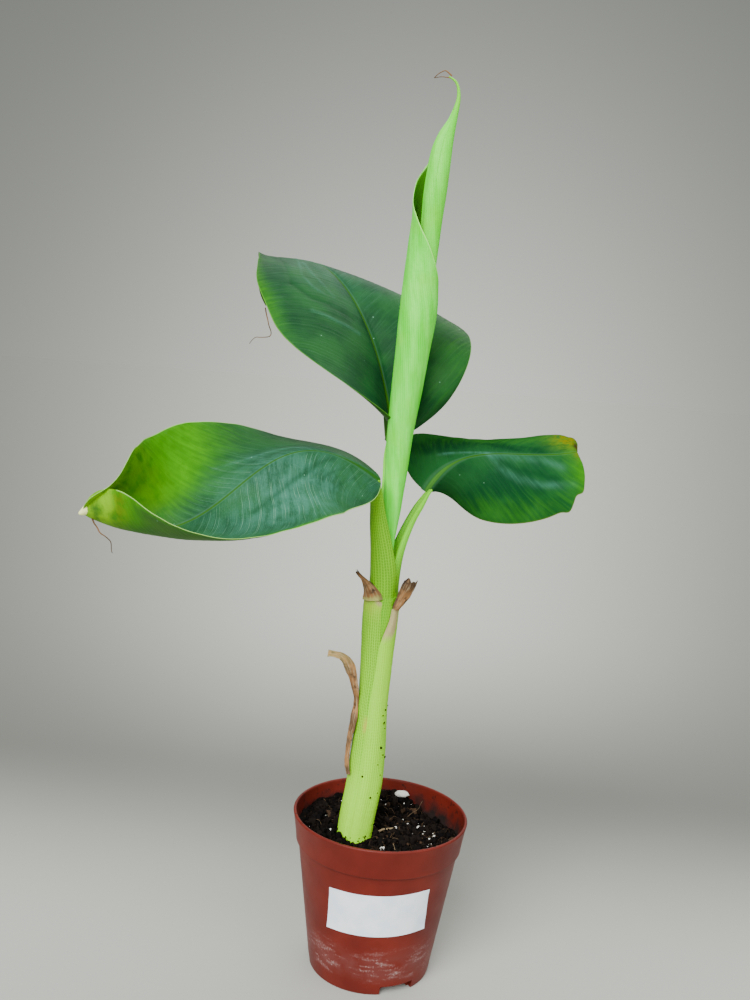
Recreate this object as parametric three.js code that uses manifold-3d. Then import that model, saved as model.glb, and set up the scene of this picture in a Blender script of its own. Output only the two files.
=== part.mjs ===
// A young banana plant in a small plastic nursery pot.
// Millimetres, +Z up, the front of the plant towards -Y.
// The origin is the centre of the pot's flat underside.
import * as THREE from "three";
import { mergeVertices } from "three/addons/utils/BufferGeometryUtils.js";
import Module from "manifold-3d";

const wasm = await Module();
wasm.setup();

// Driving dimensions ---------------------------------------------------------

// Gap kept between neighbouring pieces that touch on the real plant.
const CLEARANCE = 0.3;

const POT = {
  height: 82,
  rimRadius: 45,
  bandHeight: 15.5,
  bandFootRadius: 42.7,
  bodyTopRadius: 41.5,
  footRadius: 31.4,
  wall: 1.3,
  base: 1.5,
  lip: { radius: 0.8, stand: 0.35, drop: 2.2, tuck: 0.12 },
  ledgeBevel: 0.5,
  innerStep: { below: 0.6, above: 1.4 },
  footBevel: 0.6,
  discRadius: 20,
  channel: { height: 4.6, slope: 1 },
  footRingWidth: 2.9,
};

// Water runs out through holes in the raised channel and notches in the foot.
const DRAIN = {
  holes: 6,
  holeRadius: 2.6,
  notches: 3,
  notch: { width: 18, depth: 8, angle: 29 },
};

const LABEL = { width: 52, height: 23, middle: 45.5, angle: 4.7, tilt: 2, thickness: 0.4 };

// The soil lies higher at the left and the back, with a hollow at the right
// and a low mound behind the stem.
const SOIL = {
  level: 71,
  slopeX: -0.05,
  slopeY: 0.04,
  bumps: [
    { x: 27, y: 30, rise: -4.5, spread: 10 },
    { x: 8, y: 38, rise: 4.6, spread: 9 },
  ],
  // Where the stem stands the soil is level, then runs into the open slope.
  stemSeat: { flatRadius: 16, endRadius: 24 },
  rings: [1, 0.86, 0.72, 0.58, 0.44, 0.3, 0.15, 0],
};

// White crumbs on the soil: place, half size and turn.
const CRUMBS = [
  { x: 11, y: 36, size: [4, 2.8, 2.2], turn: 0.4 },
  { x: 6, y: -31, size: [2, 1.5, 1.2], turn: 1.1 },
  { x: -23, y: -24, size: [1.6, 1.4, 1.1], turn: 2.0 },
  { x: 21, y: 8, size: [1.5, 1.3, 1.1], turn: 2.9 },
];

// The stem's middle line leans and bows gently. Its own leaf sheaths swell it
// at the foot and again under the fork.
const STEM = {
  foot: [-12.5, -8, 70],
  axis: [
    [-12.5, -8, 70],
    [-9.4, -6, 103],
    [-8.6, -3.2, 146],
    [-8.3, -0.5, 189],
    [-8.1, -0.3, 197],
  ],
  radii: [8.9, 9, 7.6, 9, 8.8],
  sheathThickness: 1.1,
  sheathTop: 189.5,
  forkHeight: 196,
};

// The two outer sheaths meet at a seam in front and one behind. Angles run
// from the front towards the right.
const SEAM = { frontFoot: 6, frontTop: 26, back: 196 };

// Leaf stalks: crescents of the stem that narrow into channelled stalks.
// Path and the four-value lists are cubic Bezier controls from foot to blade.
const STALKS = {
  left: {
    path: [[-8.1, -0.3, 196.3], [-7.6, -2.6, 222], [-13.5, -5.5, 232], [-14.4, -11.4, 253.4]],
    outward: [[-0.35, -0.94, 0], [-0.7, -0.7, 0]],
    width: [14.5, 14.5, 7.5, 7],
    depth: [8, 8, 4.6, 4],
    groove: [4.2, 4, 1.8, 1.2],
  },
  right: {
    path: [[-8.1, -0.3, 196.3], [-6.2, 1.5, 213], [-3.6, 6, 229], [9.8, 16.7, 247.9]],
    outward: [[0.95, 0.3, 0], [0.75, 0.5, -0.4]],
    width: [14, 13, 10, 9],
    depth: [8, 7, 5.6, 3.8],
    groove: [4.2, 3.4, 2.8, 0.8],
  },
  back: {
    path: [[-8.1, -0.3, 196.3], [-8.5, 3, 218], [-9.6, 10, 248], [-11.2, 18.4, 272.2]],
    outward: [[-0.2, 0.98, 0], [-0.2, 0.98, -0.1]],
    width: [13, 9, 6, 5.5],
    depth: [8, 6, 4, 3.5],
    groove: [4.2, 3, 1.8, 1],
  },
};

// Leaf blades. Each four-value list is the cubic Bezier controls of that
// quantity from base to tip: roll turns the whole section about the midrib,
// fold lifts each half where it leaves the midrib, curl bends it on from
// there to its margin (degrees), and rake drags the margins along the leaf.
const BLADES = {
  left: {
    midrib: [[-13, -12, 255], [-79, -46, 304], [-73, -48, 202], [-142, -64, 235]],
    facing: [0, -0.6, 0.8],
    roll: [-3, -6, 8, -6],
    fold: { right: [-21, -50, -8, 50], left: [-18, -45, -16, 56] },
    curl: { right: [-8, 6, 54, 105], left: [33, 35, 63, 105] },
    rake: [-0.1, -0.36, -0.19, 0.59],
    halfWidth: { right: 49, left: 47 },
    fullness: { base: 0.4, tip: 0.47 },
    thickness: 1.7,
  },
  back: {
    midrib: [[-11.3, 19, 273], [-16, 18.5, 335], [-69, 80.5, 402.5], [-92, 100, 340.5]],
    facing: [0, 0, 1],
    roll: [27, 21, 1, -23],
    fold: { right: [79, 30, -7, -40], left: [65, 18, -2, -13] },
    curl: { right: [-60, -71, -71, -67], left: [-35, -33, -22, -9] },
    rake: [0.79, -0.62, -0.9, -0.9],
    halfWidth: { right: 56, left: 56 },
    fullness: { base: 0.38, tip: 0.66 },
    thickness: 1.8,
  },
  right: {
    midrib: [[10.2, 17, 248], [24.6, 23, 280], [56, 57.5, 263.5], [91, 56, 272.3]],
    facing: [0, -0.6, 0.8],
    roll: [-29, -1, 10, 7],
    fold: { right: [-55, -39, -27, -13], left: [-11, -24, -24, -9] },
    curl: { right: [-37, -28, -21, -13], left: [-5, -10, -10, -2] },
    rake: [0.04, 0.12, 0.27, 0.42],
    halfWidth: { right: 38.5, left: 45.5 },
    fullness: { base: 0.53, tip: 0.39 },
    thickness: 1.3,
  },
};
const BLADE_GRID = { stations: 17, columns: 5, endHalfWidth: 1.3, keel: 1.6, keelWidth: 3.5 };

// The newest leaf is still rolled: a spindle, [x, y, z, radius] up its middle.
const SPINDLE = [
  [-8.1, 0.2, 196.3, 2.8],
  [-7.4, 0.8, 225, 3.2],
  [-7.0, 0.8, 240, 4.5],
  [-6.6, 0.5, 255, 5.4],
  [-5.8, 0, 280, 6.6],
  [-4.2, 0, 305, 7.9],
  [-2.9, 0, 322, 8.6],
  [-2, 0, 338, 9.1],
  [-2, 0, 349, 9.3],
];
// The inner turn of the roll stands out of the spindle and ends in a fine tip.
const INNER_TURN = [
  [-1, 0, 338, 4.8],
  [0.6, 0, 376, 5],
  [1.3, 0, 394, 5.6],
  [2.5, 0, 411, 5.2],
  [4.2, 0, 420, 4],
  [6.8, 0, 428.5, 2.1],
  [8.6, 0, 437, 1.2],
  [8.3, 0, 442.5, 0.9],
  [6.6, 0, 446, 0.8],
  [3.3, 0, 448, 0.6],
];
// The outer turn is a loose sheet round it, [x, y, z, radius], whose free
// margin winds once round from the right side to behind the inner turn.
const OUTER_TURN = {
  line: [
    [-2, 0, 340, 9.2],
    [-2, 0, 352, 8.6],
    [-1.5, 0, 370, 8],
    [-1.1, 0, 385, 7.5],
    [-0.6, 0, 395, 7.5],
    [-0.2, 0, 404, 7.4],
    [0.4, 0, 414, 6.8],
  ],
  marginFrom: { height: 350, angle: 90 },
  marginTo: { height: 414, angle: -172 },
  backAngle: -215,
  thickness: 1,
};

// Dead, brown remains of the plant's first leaves.
const STUMPS = {
  stump_left: {
    path: [[-12, -4.6, 189.9], [-12.6, -5, 197], [-16.5, -4.6, 201], [-21.2, -4, 207]],
    outward: [[-0.62, -0.78, 0], [-0.7, -0.6, 0.3]],
    width: [12.5, 10, 6, 1.6],
    depth: [4.2, 3.2, 2, 1],
    groove: [2.6, 1.8, 0.8, 0.1],
  },
  stump_right: {
    path: [[-2.2, -4, 189.9], [0, -4.4, 193], [3, -4, 200], [6, -3.2, 205.4]],
    outward: [[0.7, -0.7, 0], [0.7, -0.6, -0.3]],
    width: [6.5, 6.6, 7.2, 7],
    depth: [3.2, 2.6, 2.2, 1.8],
    groove: [1.8, 1.2, 0.8, 0.5],
  },
};
// One more dead sheath clings to the stem's left side and bends away on top.
const HUSK = {
  path: [
    [-17.8, -10.4, 104.5],
    [-18.8, -9.2, 110.5],
    [-19, -8.4, 117],
    [-18.2, -7.6, 124],
    [-17.2, -6.9, 131],
    [-17, -6, 143],
    [-18.8, -6, 152.4],
    [-21.6, -6, 159.4],
    [-26, -6.3, 163.9],
    [-33, -7, 165.4],
  ],
  outward: [[-0.95, -0.3, 0.1], [-0.3, -0.4, 0.9]],
  width: [3.5, 5.5, 4.5, 3],
  depth: [1.9, 1.8, 1.6, 1.2],
  groove: [0.7, 0.7, 0.6, 0.3],
};

// Dry threads that hang on at the leaf tips, [x, y, z] down their middle.
const THREAD = { rootRadius: 0.7, tipRadius: 0.45 };
const THREADS = {
  thread_left: [[-142.3, -64.6, 233.4], [-138, -63.5, 229.5], [-133.5, -62.5, 222.5], [-129, -62, 217]],
  thread_back: [
    [-92.2, 100.2, 339.4],
    [-90, 100, 331],
    [-88, 100, 323.5],
    [-97, 100, 321.5],
    [-100, 100, 318],
  ],
  thread_top: [[2.3, 0, 448.3], [-1.1, 0, 449.3], [-4.2, 0, 447.6]],
};

// Steps that each kind of surface is divided into.
const STEPS = {
  potRound: 36,
  lip: 3,
  hole: 10,
  label: { up: 3, along: 12 },
  soilRound: 32,
  stem: { up: 12, round: 20 },
  sheath: { up: 10, round: 12 },
  stalk: { rows: 12, columns: 8 },
  stump: { rows: 6, columns: 6 },
  husk: { rows: 16, columns: 4 },
  spindle: { up: 13, round: 16 },
  innerTurn: { steps: 20, sides: 14 },
  outerTurn: { up: 12, round: 14 },
  thread: { steps: 8, sides: 5 },
};

// Colours, with roughness ----------------------------------------------------

const FINISHES = {
  terracottaPlastic: [0x9c3a20, 0.55],
  paper: [0xdfe5ec, 0.8],
  peat: [0x1d1612, 0.95],
  perlite: [0xe8e6e0, 0.9],
  stem: [0xa9c45c, 0.5],
  stalk: [0x7fb52c, 0.45],
  blade: [0x2c6b2c, 0.4],
  youngLeaf: [0xa5d77c, 0.5],
  deadSheath: [0x8a6a45, 0.85],
};

// Curves and numbers ---------------------------------------------------------

const vector = ([x, y, z]) => new THREE.Vector3(x, y, z);
const radians = THREE.MathUtils.degToRad;

function bezier(controls, s) {
  const t = 1 - s;
  const weights = [t * t * t, 3 * s * t * t, 3 * s * s * t, s * s * s];
  return weights.reduce((sum, weight, i) => sum + weight * controls[i], 0);
}

function bezierCurve(points) {
  return new THREE.CubicBezierCurve3(...points.map(vector));
}

// Closely spaced near both ends, where an outline turns most.
function easedSteps(count) {
  return Array.from({ length: count + 1 }, (_, i) => (1 - Math.cos((Math.PI * i) / count)) / 2);
}

function evenSteps(count) {
  return Array.from({ length: count + 1 }, (_, i) => i / count);
}

// Reads a list of [x, y, z, radius] at any height, by smooth interpolation.
function spindleAt(stations, height) {
  const heights = stations.map((station) => station[2]);
  const last = heights.length - 1;
  const after = Math.min(Math.max(heights.findIndex((z) => z > height), 1), last);
  const k = heights[last] <= height ? last : after;
  const s = (height - heights[k - 1]) / (heights[k] - heights[k - 1]);
  const pick = (i) => stations[Math.min(Math.max(i, 0), last)];
  return [0, 1, 3].map((axis) => {
    const [a, b, c, d] = [k - 2, k - 1, k, k + 1].map((i) => pick(i)[axis]);
    const cubic = (3 * b - 3 * c + d - a) * s + (2 * a - 5 * b + 4 * c - d);
    return b + 0.5 * s * (c - a + s * cubic);
  });
}

// Closed bodies --------------------------------------------------------------

function signedVolume(points, triangles) {
  const cross = new THREE.Vector3();
  return triangles.reduce((sum, [a, b, c]) => {
    cross.crossVectors(points[b], points[c]);
    return sum + points[a].dot(cross) / 6;
  }, 0);
}

// A geometry from points and triangles, turned so that its faces point out.
function bodyGeometry(points, triangles) {
  const outward = signedVolume(points, triangles) > 0;
  const index = triangles.flatMap(([a, b, c]) => (outward ? [a, b, c] : [a, c, b]));
  const geometry = new THREE.BufferGeometry().setFromPoints(points);
  geometry.setIndex(index);
  return geometry;
}

// A plate between two grids of points that face each other.
function plate(top, bottom) {
  const rows = top.length;
  const columns = top[0].length;
  const under = rows * columns;
  const at = (i, j) => i * columns + j;
  const triangles = [];
  const quad = (a, b, c, d) => triangles.push([a, b, c], [a, c, d]);
  for (let i = 0; i < rows - 1; i++) {
    for (let j = 0; j < columns - 1; j++) {
      const corners = [at(i, j), at(i, j + 1), at(i + 1, j + 1), at(i + 1, j)];
      quad(...corners);
      quad(...corners.map((corner) => corner + under).reverse());
    }
  }
  const side = (a, b) => quad(b, a, a + under, b + under);
  for (let j = 0; j < columns - 1; j++) {
    side(at(0, j), at(0, j + 1));
    side(at(rows - 1, j + 1), at(rows - 1, j));
  }
  for (let i = 0; i < rows - 1; i++) {
    side(at(i + 1, 0), at(i, 0));
    side(at(i, columns - 1), at(i + 1, columns - 1));
  }
  return bodyGeometry([...top.flat(), ...bottom.flat()], triangles);
}

// A limb through closed rings of points, with a flat cut at each end.
function limb(rings) {
  const sides = rings[0].length;
  const at = (i, j) => i * sides + (j % sides);
  const triangles = [];
  for (let i = 0; i < rings.length - 1; i++) {
    for (let j = 0; j < sides; j++) {
      triangles.push([at(i, j), at(i, j + 1), at(i + 1, j + 1)]);
      triangles.push([at(i, j), at(i + 1, j + 1), at(i + 1, j)]);
    }
  }
  const last = rings.length - 1;
  for (let j = 1; j < sides - 1; j++) {
    triangles.push([at(0, 0), at(0, j + 1), at(0, j)]);
    triangles.push([at(last, 0), at(last, j), at(last, j + 1)]);
  }
  return bodyGeometry(rings.flat(), triangles);
}

// A level ring round a middle point. Angle 0 is the front, 90 the right.
function levelPoint(x, y, z, radius, angle) {
  return new THREE.Vector3(
    x + radius * Math.sin(radians(angle)),
    y - radius * Math.cos(radians(angle)),
    z,
  );
}

function levelRing(x, y, z, radius, sides) {
  return evenSteps(sides)
    .slice(0, sides)
    .map((turn) => levelPoint(x, y, z, radius, turn * 360));
}

function solidOf(geometry) {
  const bare = new THREE.BufferGeometry();
  bare.setAttribute("position", geometry.getAttribute("position"));
  if (geometry.index) bare.setIndex(geometry.index);
  const merged = mergeVertices(bare, 1e-4);
  const corners = merged.index.array;
  const kept = [];
  for (let i = 0; i < corners.length; i += 3) {
    const [a, b, c] = corners.subarray(i, i + 3);
    if (a !== b && b !== c && c !== a) kept.push(a, b, c);
  }
  const vertProperties = new Float32Array(merged.getAttribute("position").array);
  const triVerts = new Uint32Array(kept);
  return new wasm.Manifold(new wasm.Mesh({ numProp: 3, vertProperties, triVerts }));
}

function geometryOf(solid) {
  const mesh = solid.getMesh();
  const geometry = new THREE.BufferGeometry();
  geometry.setAttribute("position", new THREE.BufferAttribute(mesh.vertProperties, 3));
  geometry.setIndex(new THREE.BufferAttribute(mesh.triVerts, 1));
  return geometry;
}

// A carved piece keeps its main body only, without any scrap cut loose.
function mainBody(solid) {
  const bodies = solid.decompose();
  return bodies.reduce((most, body) => (body.volume() > most.volume() ? body : most));
}

function carve(geometry, tools) {
  const cut = tools.reduce((solid, tool) => solid.subtract(solidOf(tool)), solidOf(geometry));
  return geometryOf(mainBody(cut));
}

// The pot, its label and the soil --------------------------------------------

const bodyHeight = POT.height - POT.bandHeight;

function potOuterRadius(height) {
  const share = height / bodyHeight;
  return THREE.MathUtils.lerp(POT.footRadius, POT.bodyTopRadius, share);
}

// The wall widens over the inner step, from the body's taper to the band's.
function potInnerRadius(height) {
  const { below, above } = POT.innerStep;
  const up = (height - bodyHeight) / POT.bandHeight;
  const band = THREE.MathUtils.lerp(POT.bandFootRadius, POT.rimRadius, up);
  const step = THREE.MathUtils.clamp((height - bodyHeight + below) / (above + below), 0, 1);
  return THREE.MathUtils.lerp(potOuterRadius(height), band, step) - POT.wall;
}

function potProfile() {
  const { height, rimRadius, bandFootRadius, bodyTopRadius, footRadius, wall, base } = POT;
  const { discRadius, channel, footRingWidth, footBevel, ledgeBevel, innerStep, lip } = POT;
  const floor = channel.height + base;
  const outside = [
    [0, 0],
    [discRadius, 0],
    [discRadius + channel.slope, channel.height],
    [footRadius - footRingWidth - channel.slope, channel.height],
    [footRadius - footRingWidth, 0],
    [footRadius - footBevel, 0],
    [footRadius, footBevel],
    [bodyTopRadius, bodyHeight],
    [bandFootRadius - ledgeBevel, bodyHeight + ledgeBevel],
    [bandFootRadius, bodyHeight + 2 * ledgeBevel],
    [rimRadius - lip.stand, height - lip.drop],
  ];
  const rolledLip = evenSteps(STEPS.lip).map((turn) => {
    const angle = Math.PI * (turn - lip.tuck);
    const radius = rimRadius - lip.radius + lip.radius * Math.cos(angle);
    return [radius, height - lip.radius + lip.radius * Math.sin(angle)];
  });
  const inside = [
    [rimRadius - wall - lip.stand, height - lip.drop - lip.radius],
    [bandFootRadius - wall, bodyHeight + innerStep.above],
    [bodyTopRadius - wall, bodyHeight - innerStep.below],
    [potOuterRadius(floor) - wall, floor],
    [discRadius + channel.slope, floor],
    [discRadius - channel.slope, base],
    [0, base],
  ];
  return [...outside, ...rolledLip, ...inside];
}

function potGeometry() {
  const profile = potProfile().map(([radius, height]) => new THREE.Vector2(radius, height));
  const shell = new THREE.LatheGeometry(profile, STEPS.potRound).rotateX(Math.PI / 2);
  const tools = [];
  const channelMiddle = (POT.discRadius + POT.footRadius - POT.footRingWidth) / 2;
  for (let i = 0; i < DRAIN.holes; i++) {
    const { holeRadius, holes } = DRAIN;
    const length = 2 * POT.channel.height;
    const hole = new THREE.CylinderGeometry(holeRadius, holeRadius, length, STEPS.hole);
    const place = levelPoint(0, 0, POT.channel.height, channelMiddle, (i * 360) / holes);
    tools.push(hole.rotateX(Math.PI / 2).translate(place.x, place.y, place.z));
  }
  for (let i = 0; i < DRAIN.notches; i++) {
    const { width, depth, angle } = DRAIN.notch;
    const turn = angle + (i * 360) / DRAIN.notches;
    const notch = new THREE.BoxGeometry(width, depth, 2 * POT.channel.height);
    const place = levelPoint(0, 0, 0, POT.footRadius, turn);
    tools.push(notch.rotateZ(radians(turn)).translate(place.x, place.y, place.z));
  }
  return carve(shell, tools);
}

// A sheet of paper that follows the pot's tapering side.
function labelGeometry() {
  const skin = (lift) =>
    evenSteps(STEPS.label.up).map((up) =>
      evenSteps(STEPS.label.along).map((along) => {
        const across = (along - 0.5) * LABEL.width;
        const slope = across * Math.tan(radians(LABEL.tilt));
        const height = LABEL.middle + (up - 0.5) * LABEL.height + slope;
        const radius = potOuterRadius(height) + CLEARANCE + lift;
        const angle = LABEL.angle + THREE.MathUtils.radToDeg(across / potOuterRadius(height));
        return levelPoint(0, 0, height, radius, angle);
      }),
    );
  return plate(skin(LABEL.thickness), skin(0));
}

// Soil height at a place. It is level where the stem stands on it.
function soilHeight(x, y) {
  const { level, slopeX, slopeY, bumps } = SOIL;
  const open = bumps.reduce((height, bump) => {
    const away = Math.hypot(x - bump.x, y - bump.y) / bump.spread;
    return height + bump.rise * Math.exp((-away * away) / 2);
  }, level + slopeX * x + slopeY * y);
  const [footX, footY, footZ] = STEM.foot;
  const distance = Math.hypot(x - footX, y - footY);
  const { flatRadius, endRadius } = SOIL.stemSeat;
  const share = THREE.MathUtils.smoothstep(distance, flatRadius, endRadius);
  return THREE.MathUtils.lerp(footZ - CLEARANCE, open, share);
}

function soilProfile(angle) {
  const direction = levelPoint(0, 0, 0, 1, angle);
  const heightAt = (radius) => soilHeight(direction.x * radius, direction.y * radius);
  const edge = potInnerRadius(heightAt(POT.bodyTopRadius)) - 2 * CLEARANCE;
  const base = POT.base + CLEARANCE;
  const floor = POT.channel.height + base;
  const shoulder = bodyHeight - 2 * POT.innerStep.below;
  const under = [
    [0, base],
    [POT.discRadius - POT.channel.slope - CLEARANCE, base],
    [POT.discRadius + POT.channel.slope - CLEARANCE, floor],
    [potInnerRadius(floor) - 1.5 * CLEARANCE, floor],
    [potInnerRadius(shoulder) - 1.5 * CLEARANCE, shoulder],
  ];
  const top = SOIL.rings.map((share) => [edge * share, heightAt(edge * share)]);
  return [...under, ...top];
}

// A body of revolution whose profile may change with the angle.
function revolved(profileAt, segments) {
  const profiles = evenSteps(segments)
    .slice(0, segments)
    .map((turn) => profileAt(turn * 360));
  const inner = profiles[0].length - 2;
  const points = profiles.flatMap((profile, i) =>
    profile.slice(1, -1).map(([radius, z]) => levelPoint(0, 0, z, radius, (i * 360) / segments)),
  );
  const bottom = points.push(new THREE.Vector3(0, 0, profiles[0][0][1])) - 1;
  const top = points.push(new THREE.Vector3(0, 0, profiles[0][inner + 1][1])) - 1;
  const triangles = [];
  for (let i = 0; i < segments; i++) {
    const here = i * inner;
    const next = ((i + 1) % segments) * inner;
    triangles.push([bottom, next, here], [top, here + inner - 1, next + inner - 1]);
    for (let k = 0; k < inner - 1; k++) {
      triangles.push([here + k, next + k, next + k + 1], [here + k, next + k + 1, here + k + 1]);
    }
  }
  return bodyGeometry(points, triangles);
}

function crumbGeometry({ x, y, size, turn }) {
  const lift = soilHeight(x, y) + size[2] + 1.3 * CLEARANCE;
  return new THREE.IcosahedronGeometry(1, 0).scale(...size).rotateZ(turn).translate(x, y, lift);
}

// The stem and its sheaths ---------------------------------------------------

const stemStations = STEM.axis.map((point, i) => [...point, STEM.radii[i]]);

function stemAt(height) {
  return spindleAt(stemStations, height);
}

function coreRadius(height) {
  return stemAt(height)[2] - STEM.sheathThickness - 1.5 * CLEARANCE;
}

// A round limb up the stem's middle line between two heights.
function stemLimb(from, to, radiusAt) {
  const rings = evenSteps(STEPS.stem.up).map((s) => {
    const height = THREE.MathUtils.lerp(from, to, s);
    const [x, y] = stemAt(height);
    return levelRing(x, y, height, radiusAt(height), STEPS.stem.round);
  });
  return limb(rings);
}

function seamAngle(height) {
  const share = (height - STEM.foot[2]) / (STEM.sheathTop - STEM.foot[2]);
  return THREE.MathUtils.lerp(SEAM.frontFoot, SEAM.frontTop, share);
}

// A sheath wraps part of the stem, between two angles that may change with
// the height.
function sheathGeometry(fromAngle, toAngle) {
  const { foot, sheathTop, sheathThickness } = STEM;
  const skin = (lift) =>
    evenSteps(STEPS.sheath.up).map((s) => {
      const height = THREE.MathUtils.lerp(foot[2], sheathTop, s);
      const [x, y, radius] = stemAt(height);
      const [from, to] = [fromAngle(height), toAngle(height)];
      return evenSteps(STEPS.sheath.round).map((t) => {
        const angle = THREE.MathUtils.lerp(from, to, t);
        return levelPoint(x, y, height, radius - sheathThickness + lift, angle);
      });
    });
  return plate(skin(sheathThickness), skin(0));
}

// Half of the seam's gap, as an angle.
const SEAM_GAP = 1.3;
const leftSheath = () =>
  sheathGeometry(() => SEAM.back - 360 + SEAM_GAP, (height) => seamAngle(height) - SEAM_GAP);
const rightSheath = () =>
  sheathGeometry((height) => seamAngle(height) + SEAM_GAP, () => SEAM.back - SEAM_GAP);

// Channelled stalks, stumps and the husk -------------------------------------

// Wall at a crescent's two horns: a share of its half width, up to the most.
const HORN = { share: 0.4, most: 1.3 };

// A crescent section swept along a curve: its outer side bulges outward and
// its inner side is hollowed. Grow swells it all round, for carving.
function channelGeometry(shape, curve, { rows, columns, grow = 0 }) {
  const [firstOutward, lastOutward] = shape.outward.map(vector);
  const outerSide = [];
  const innerSide = [];
  for (const s of evenSteps(rows)) {
    const middle = curve.getPoint(s);
    const along = curve.getTangent(s);
    if (s === 0 && shape.levelFoot) along.set(0, 0, 1);
    const outward = firstOutward.clone().lerp(lastOutward, s);
    outward.addScaledVector(along, -outward.dot(along)).normalize();
    middle.addScaledVector(outward, -grow);
    middle.addScaledVector(along, s === 0 ? -grow : s === 1 ? grow : 0);
    const across = new THREE.Vector3().crossVectors(along, outward);
    const half = bezier(shape.width, s) / 2 + grow;
    const depth = bezier(shape.depth, s) + 2 * grow;
    const groove = bezier(shape.groove, s);
    const horn = Math.min(HORN.most, HORN.share * half) + grow;
    const arc = (halfWidth, height) =>
      evenSteps(columns).map((t) => {
        const angle = Math.PI * (t - 0.5);
        return middle
          .clone()
          .addScaledVector(across, halfWidth * Math.sin(angle))
          .addScaledVector(outward, height * Math.cos(angle));
      });
    outerSide.push(arc(half, depth));
    innerSide.push(arc(half - horn, groove));
  }
  return plate(outerSide, innerSide);
}

// Growth of the room a stalk needs, a little over the clearance because the
// facets of its neighbours cut across its curve.
const STALK_ROOM = 1.5 * CLEARANCE;

function stalkGeometry(name, grow = 0) {
  const stalk = { ...STALKS[name], levelFoot: true };
  return channelGeometry(stalk, bezierCurve(stalk.path), { ...STEPS.stalk, grow });
}

function huskGeometry() {
  const curve = new THREE.CatmullRomCurve3(HUSK.path.map(vector));
  return channelGeometry(HUSK, curve, STEPS.husk);
}

// Leaf blades ----------------------------------------------------------------

function bladeHalfWidth(blade, side, s) {
  const { base, tip } = blade.fullness;
  const widest = base / (base + tip);
  const most = widest ** base * (1 - widest) ** tip;
  const width = (blade.halfWidth[side] * s ** base * (1 - s) ** tip) / most;
  return Math.max(width, BLADE_GRID.endHalfWidth);
}

// Points from the left margin over the midrib to the right margin.
function bladeRow(blade, curve, s) {
  const along = curve.getTangent(s);
  const across = along.clone().cross(vector(blade.facing).normalize()).normalize();
  const up = across.clone().cross(along);
  const roll = radians(bezier(blade.roll, s));
  const rolledAcross = across.clone().multiplyScalar(Math.cos(roll));
  rolledAcross.addScaledVector(up, Math.sin(roll));
  const rolledUp = up.clone().multiplyScalar(Math.cos(roll));
  rolledUp.addScaledVector(across, -Math.sin(roll));
  const rake = bezier(blade.rake, s);
  const middle = curve.getPoint(s);
  const half = (side, sign) => {
    const step = bladeHalfWidth(blade, side, s) / BLADE_GRID.columns;
    const fold = bezier(blade.fold[side], s);
    const curl = bezier(blade.curl[side], s);
    const point = middle.clone();
    return evenSteps(BLADE_GRID.columns)
      .slice(1)
      .map((end) => {
        const out = end - 0.5 / BLADE_GRID.columns;
        const angle = radians(fold + curl * out);
        point.addScaledVector(rolledAcross, sign * Math.cos(angle) * step);
        point.addScaledVector(rolledUp, Math.sin(angle) * step);
        point.addScaledVector(along, rake * out * step);
        return point.clone();
      });
  };
  return [...half("left", -1).reverse(), middle, ...half("right", 1)];
}

// The blade as a plate of even thickness, with a keel under its midrib that
// fades towards the tip.
function bladeGeometry(name) {
  const blade = BLADES[name];
  const curve = bezierCurve(blade.midrib);
  const steps = easedSteps(BLADE_GRID.stations);
  const rows = steps.map((s) => bladeRow(blade, curve, s));
  const middleColumn = BLADE_GRID.columns;
  const clampTo = (value, last) => Math.min(Math.max(value, 0), last);
  const pointAt = (i, j) => rows[clampTo(i, rows.length - 1)][clampTo(j, 2 * middleColumn)];
  const normalAt = (i, j) => {
    const along = pointAt(i + 1, j).clone().sub(pointAt(i - 1, j));
    const across = pointAt(i, j + 1).clone().sub(pointAt(i, j - 1));
    return across.cross(along).normalize();
  };
  const skin = (lift) =>
    rows.map((row, i) =>
      row.map((point, j) => {
        const fromMidrib = point.distanceTo(row[middleColumn]) / BLADE_GRID.keelWidth;
        const keel = BLADE_GRID.keel * (1 - steps[i]) * Math.exp(-fromMidrib * fromMidrib);
        const distance = lift > 0 ? lift : lift - keel;
        return point.clone().addScaledVector(normalAt(i, j), distance);
      }),
    );
  return plate(skin(blade.thickness / 2), skin(-blade.thickness / 2));
}

// The rolled leaf ------------------------------------------------------------

function sweptLimb(points, { sides, steps }) {
  const curve = new THREE.CatmullRomCurve3(points.map(vector));
  const radii = new THREE.CatmullRomCurve3(points.map((point) => new THREE.Vector3(point[3], 0, 0)));
  const front = new THREE.Vector3(0, -1, 0);
  const rings = evenSteps(steps).map((s) => {
    const middle = curve.getPoint(s);
    const along = curve.getTangent(s);
    const right = new THREE.Vector3().crossVectors(along, front).normalize();
    const ahead = new THREE.Vector3().crossVectors(right, along);
    const radius = radii.getPoint(s).x;
    return evenSteps(sides)
      .slice(0, sides)
      .map((turn) => {
        const angle = turn * 2 * Math.PI;
        return middle
          .clone()
          .addScaledVector(ahead, radius * Math.cos(angle))
          .addScaledVector(right, radius * Math.sin(angle));
      });
  });
  return limb(rings);
}

function spindleGeometry(grow = 0) {
  const first = SPINDLE[0][2];
  const last = SPINDLE[SPINDLE.length - 1][2];
  const rings = evenSteps(STEPS.spindle.up).map((s) => {
    const height = THREE.MathUtils.lerp(first, last, s);
    const [x, y, radius] = spindleAt(SPINDLE, height);
    return levelRing(x, y, height, radius + grow, STEPS.spindle.round);
  });
  return limb(rings);
}

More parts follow.
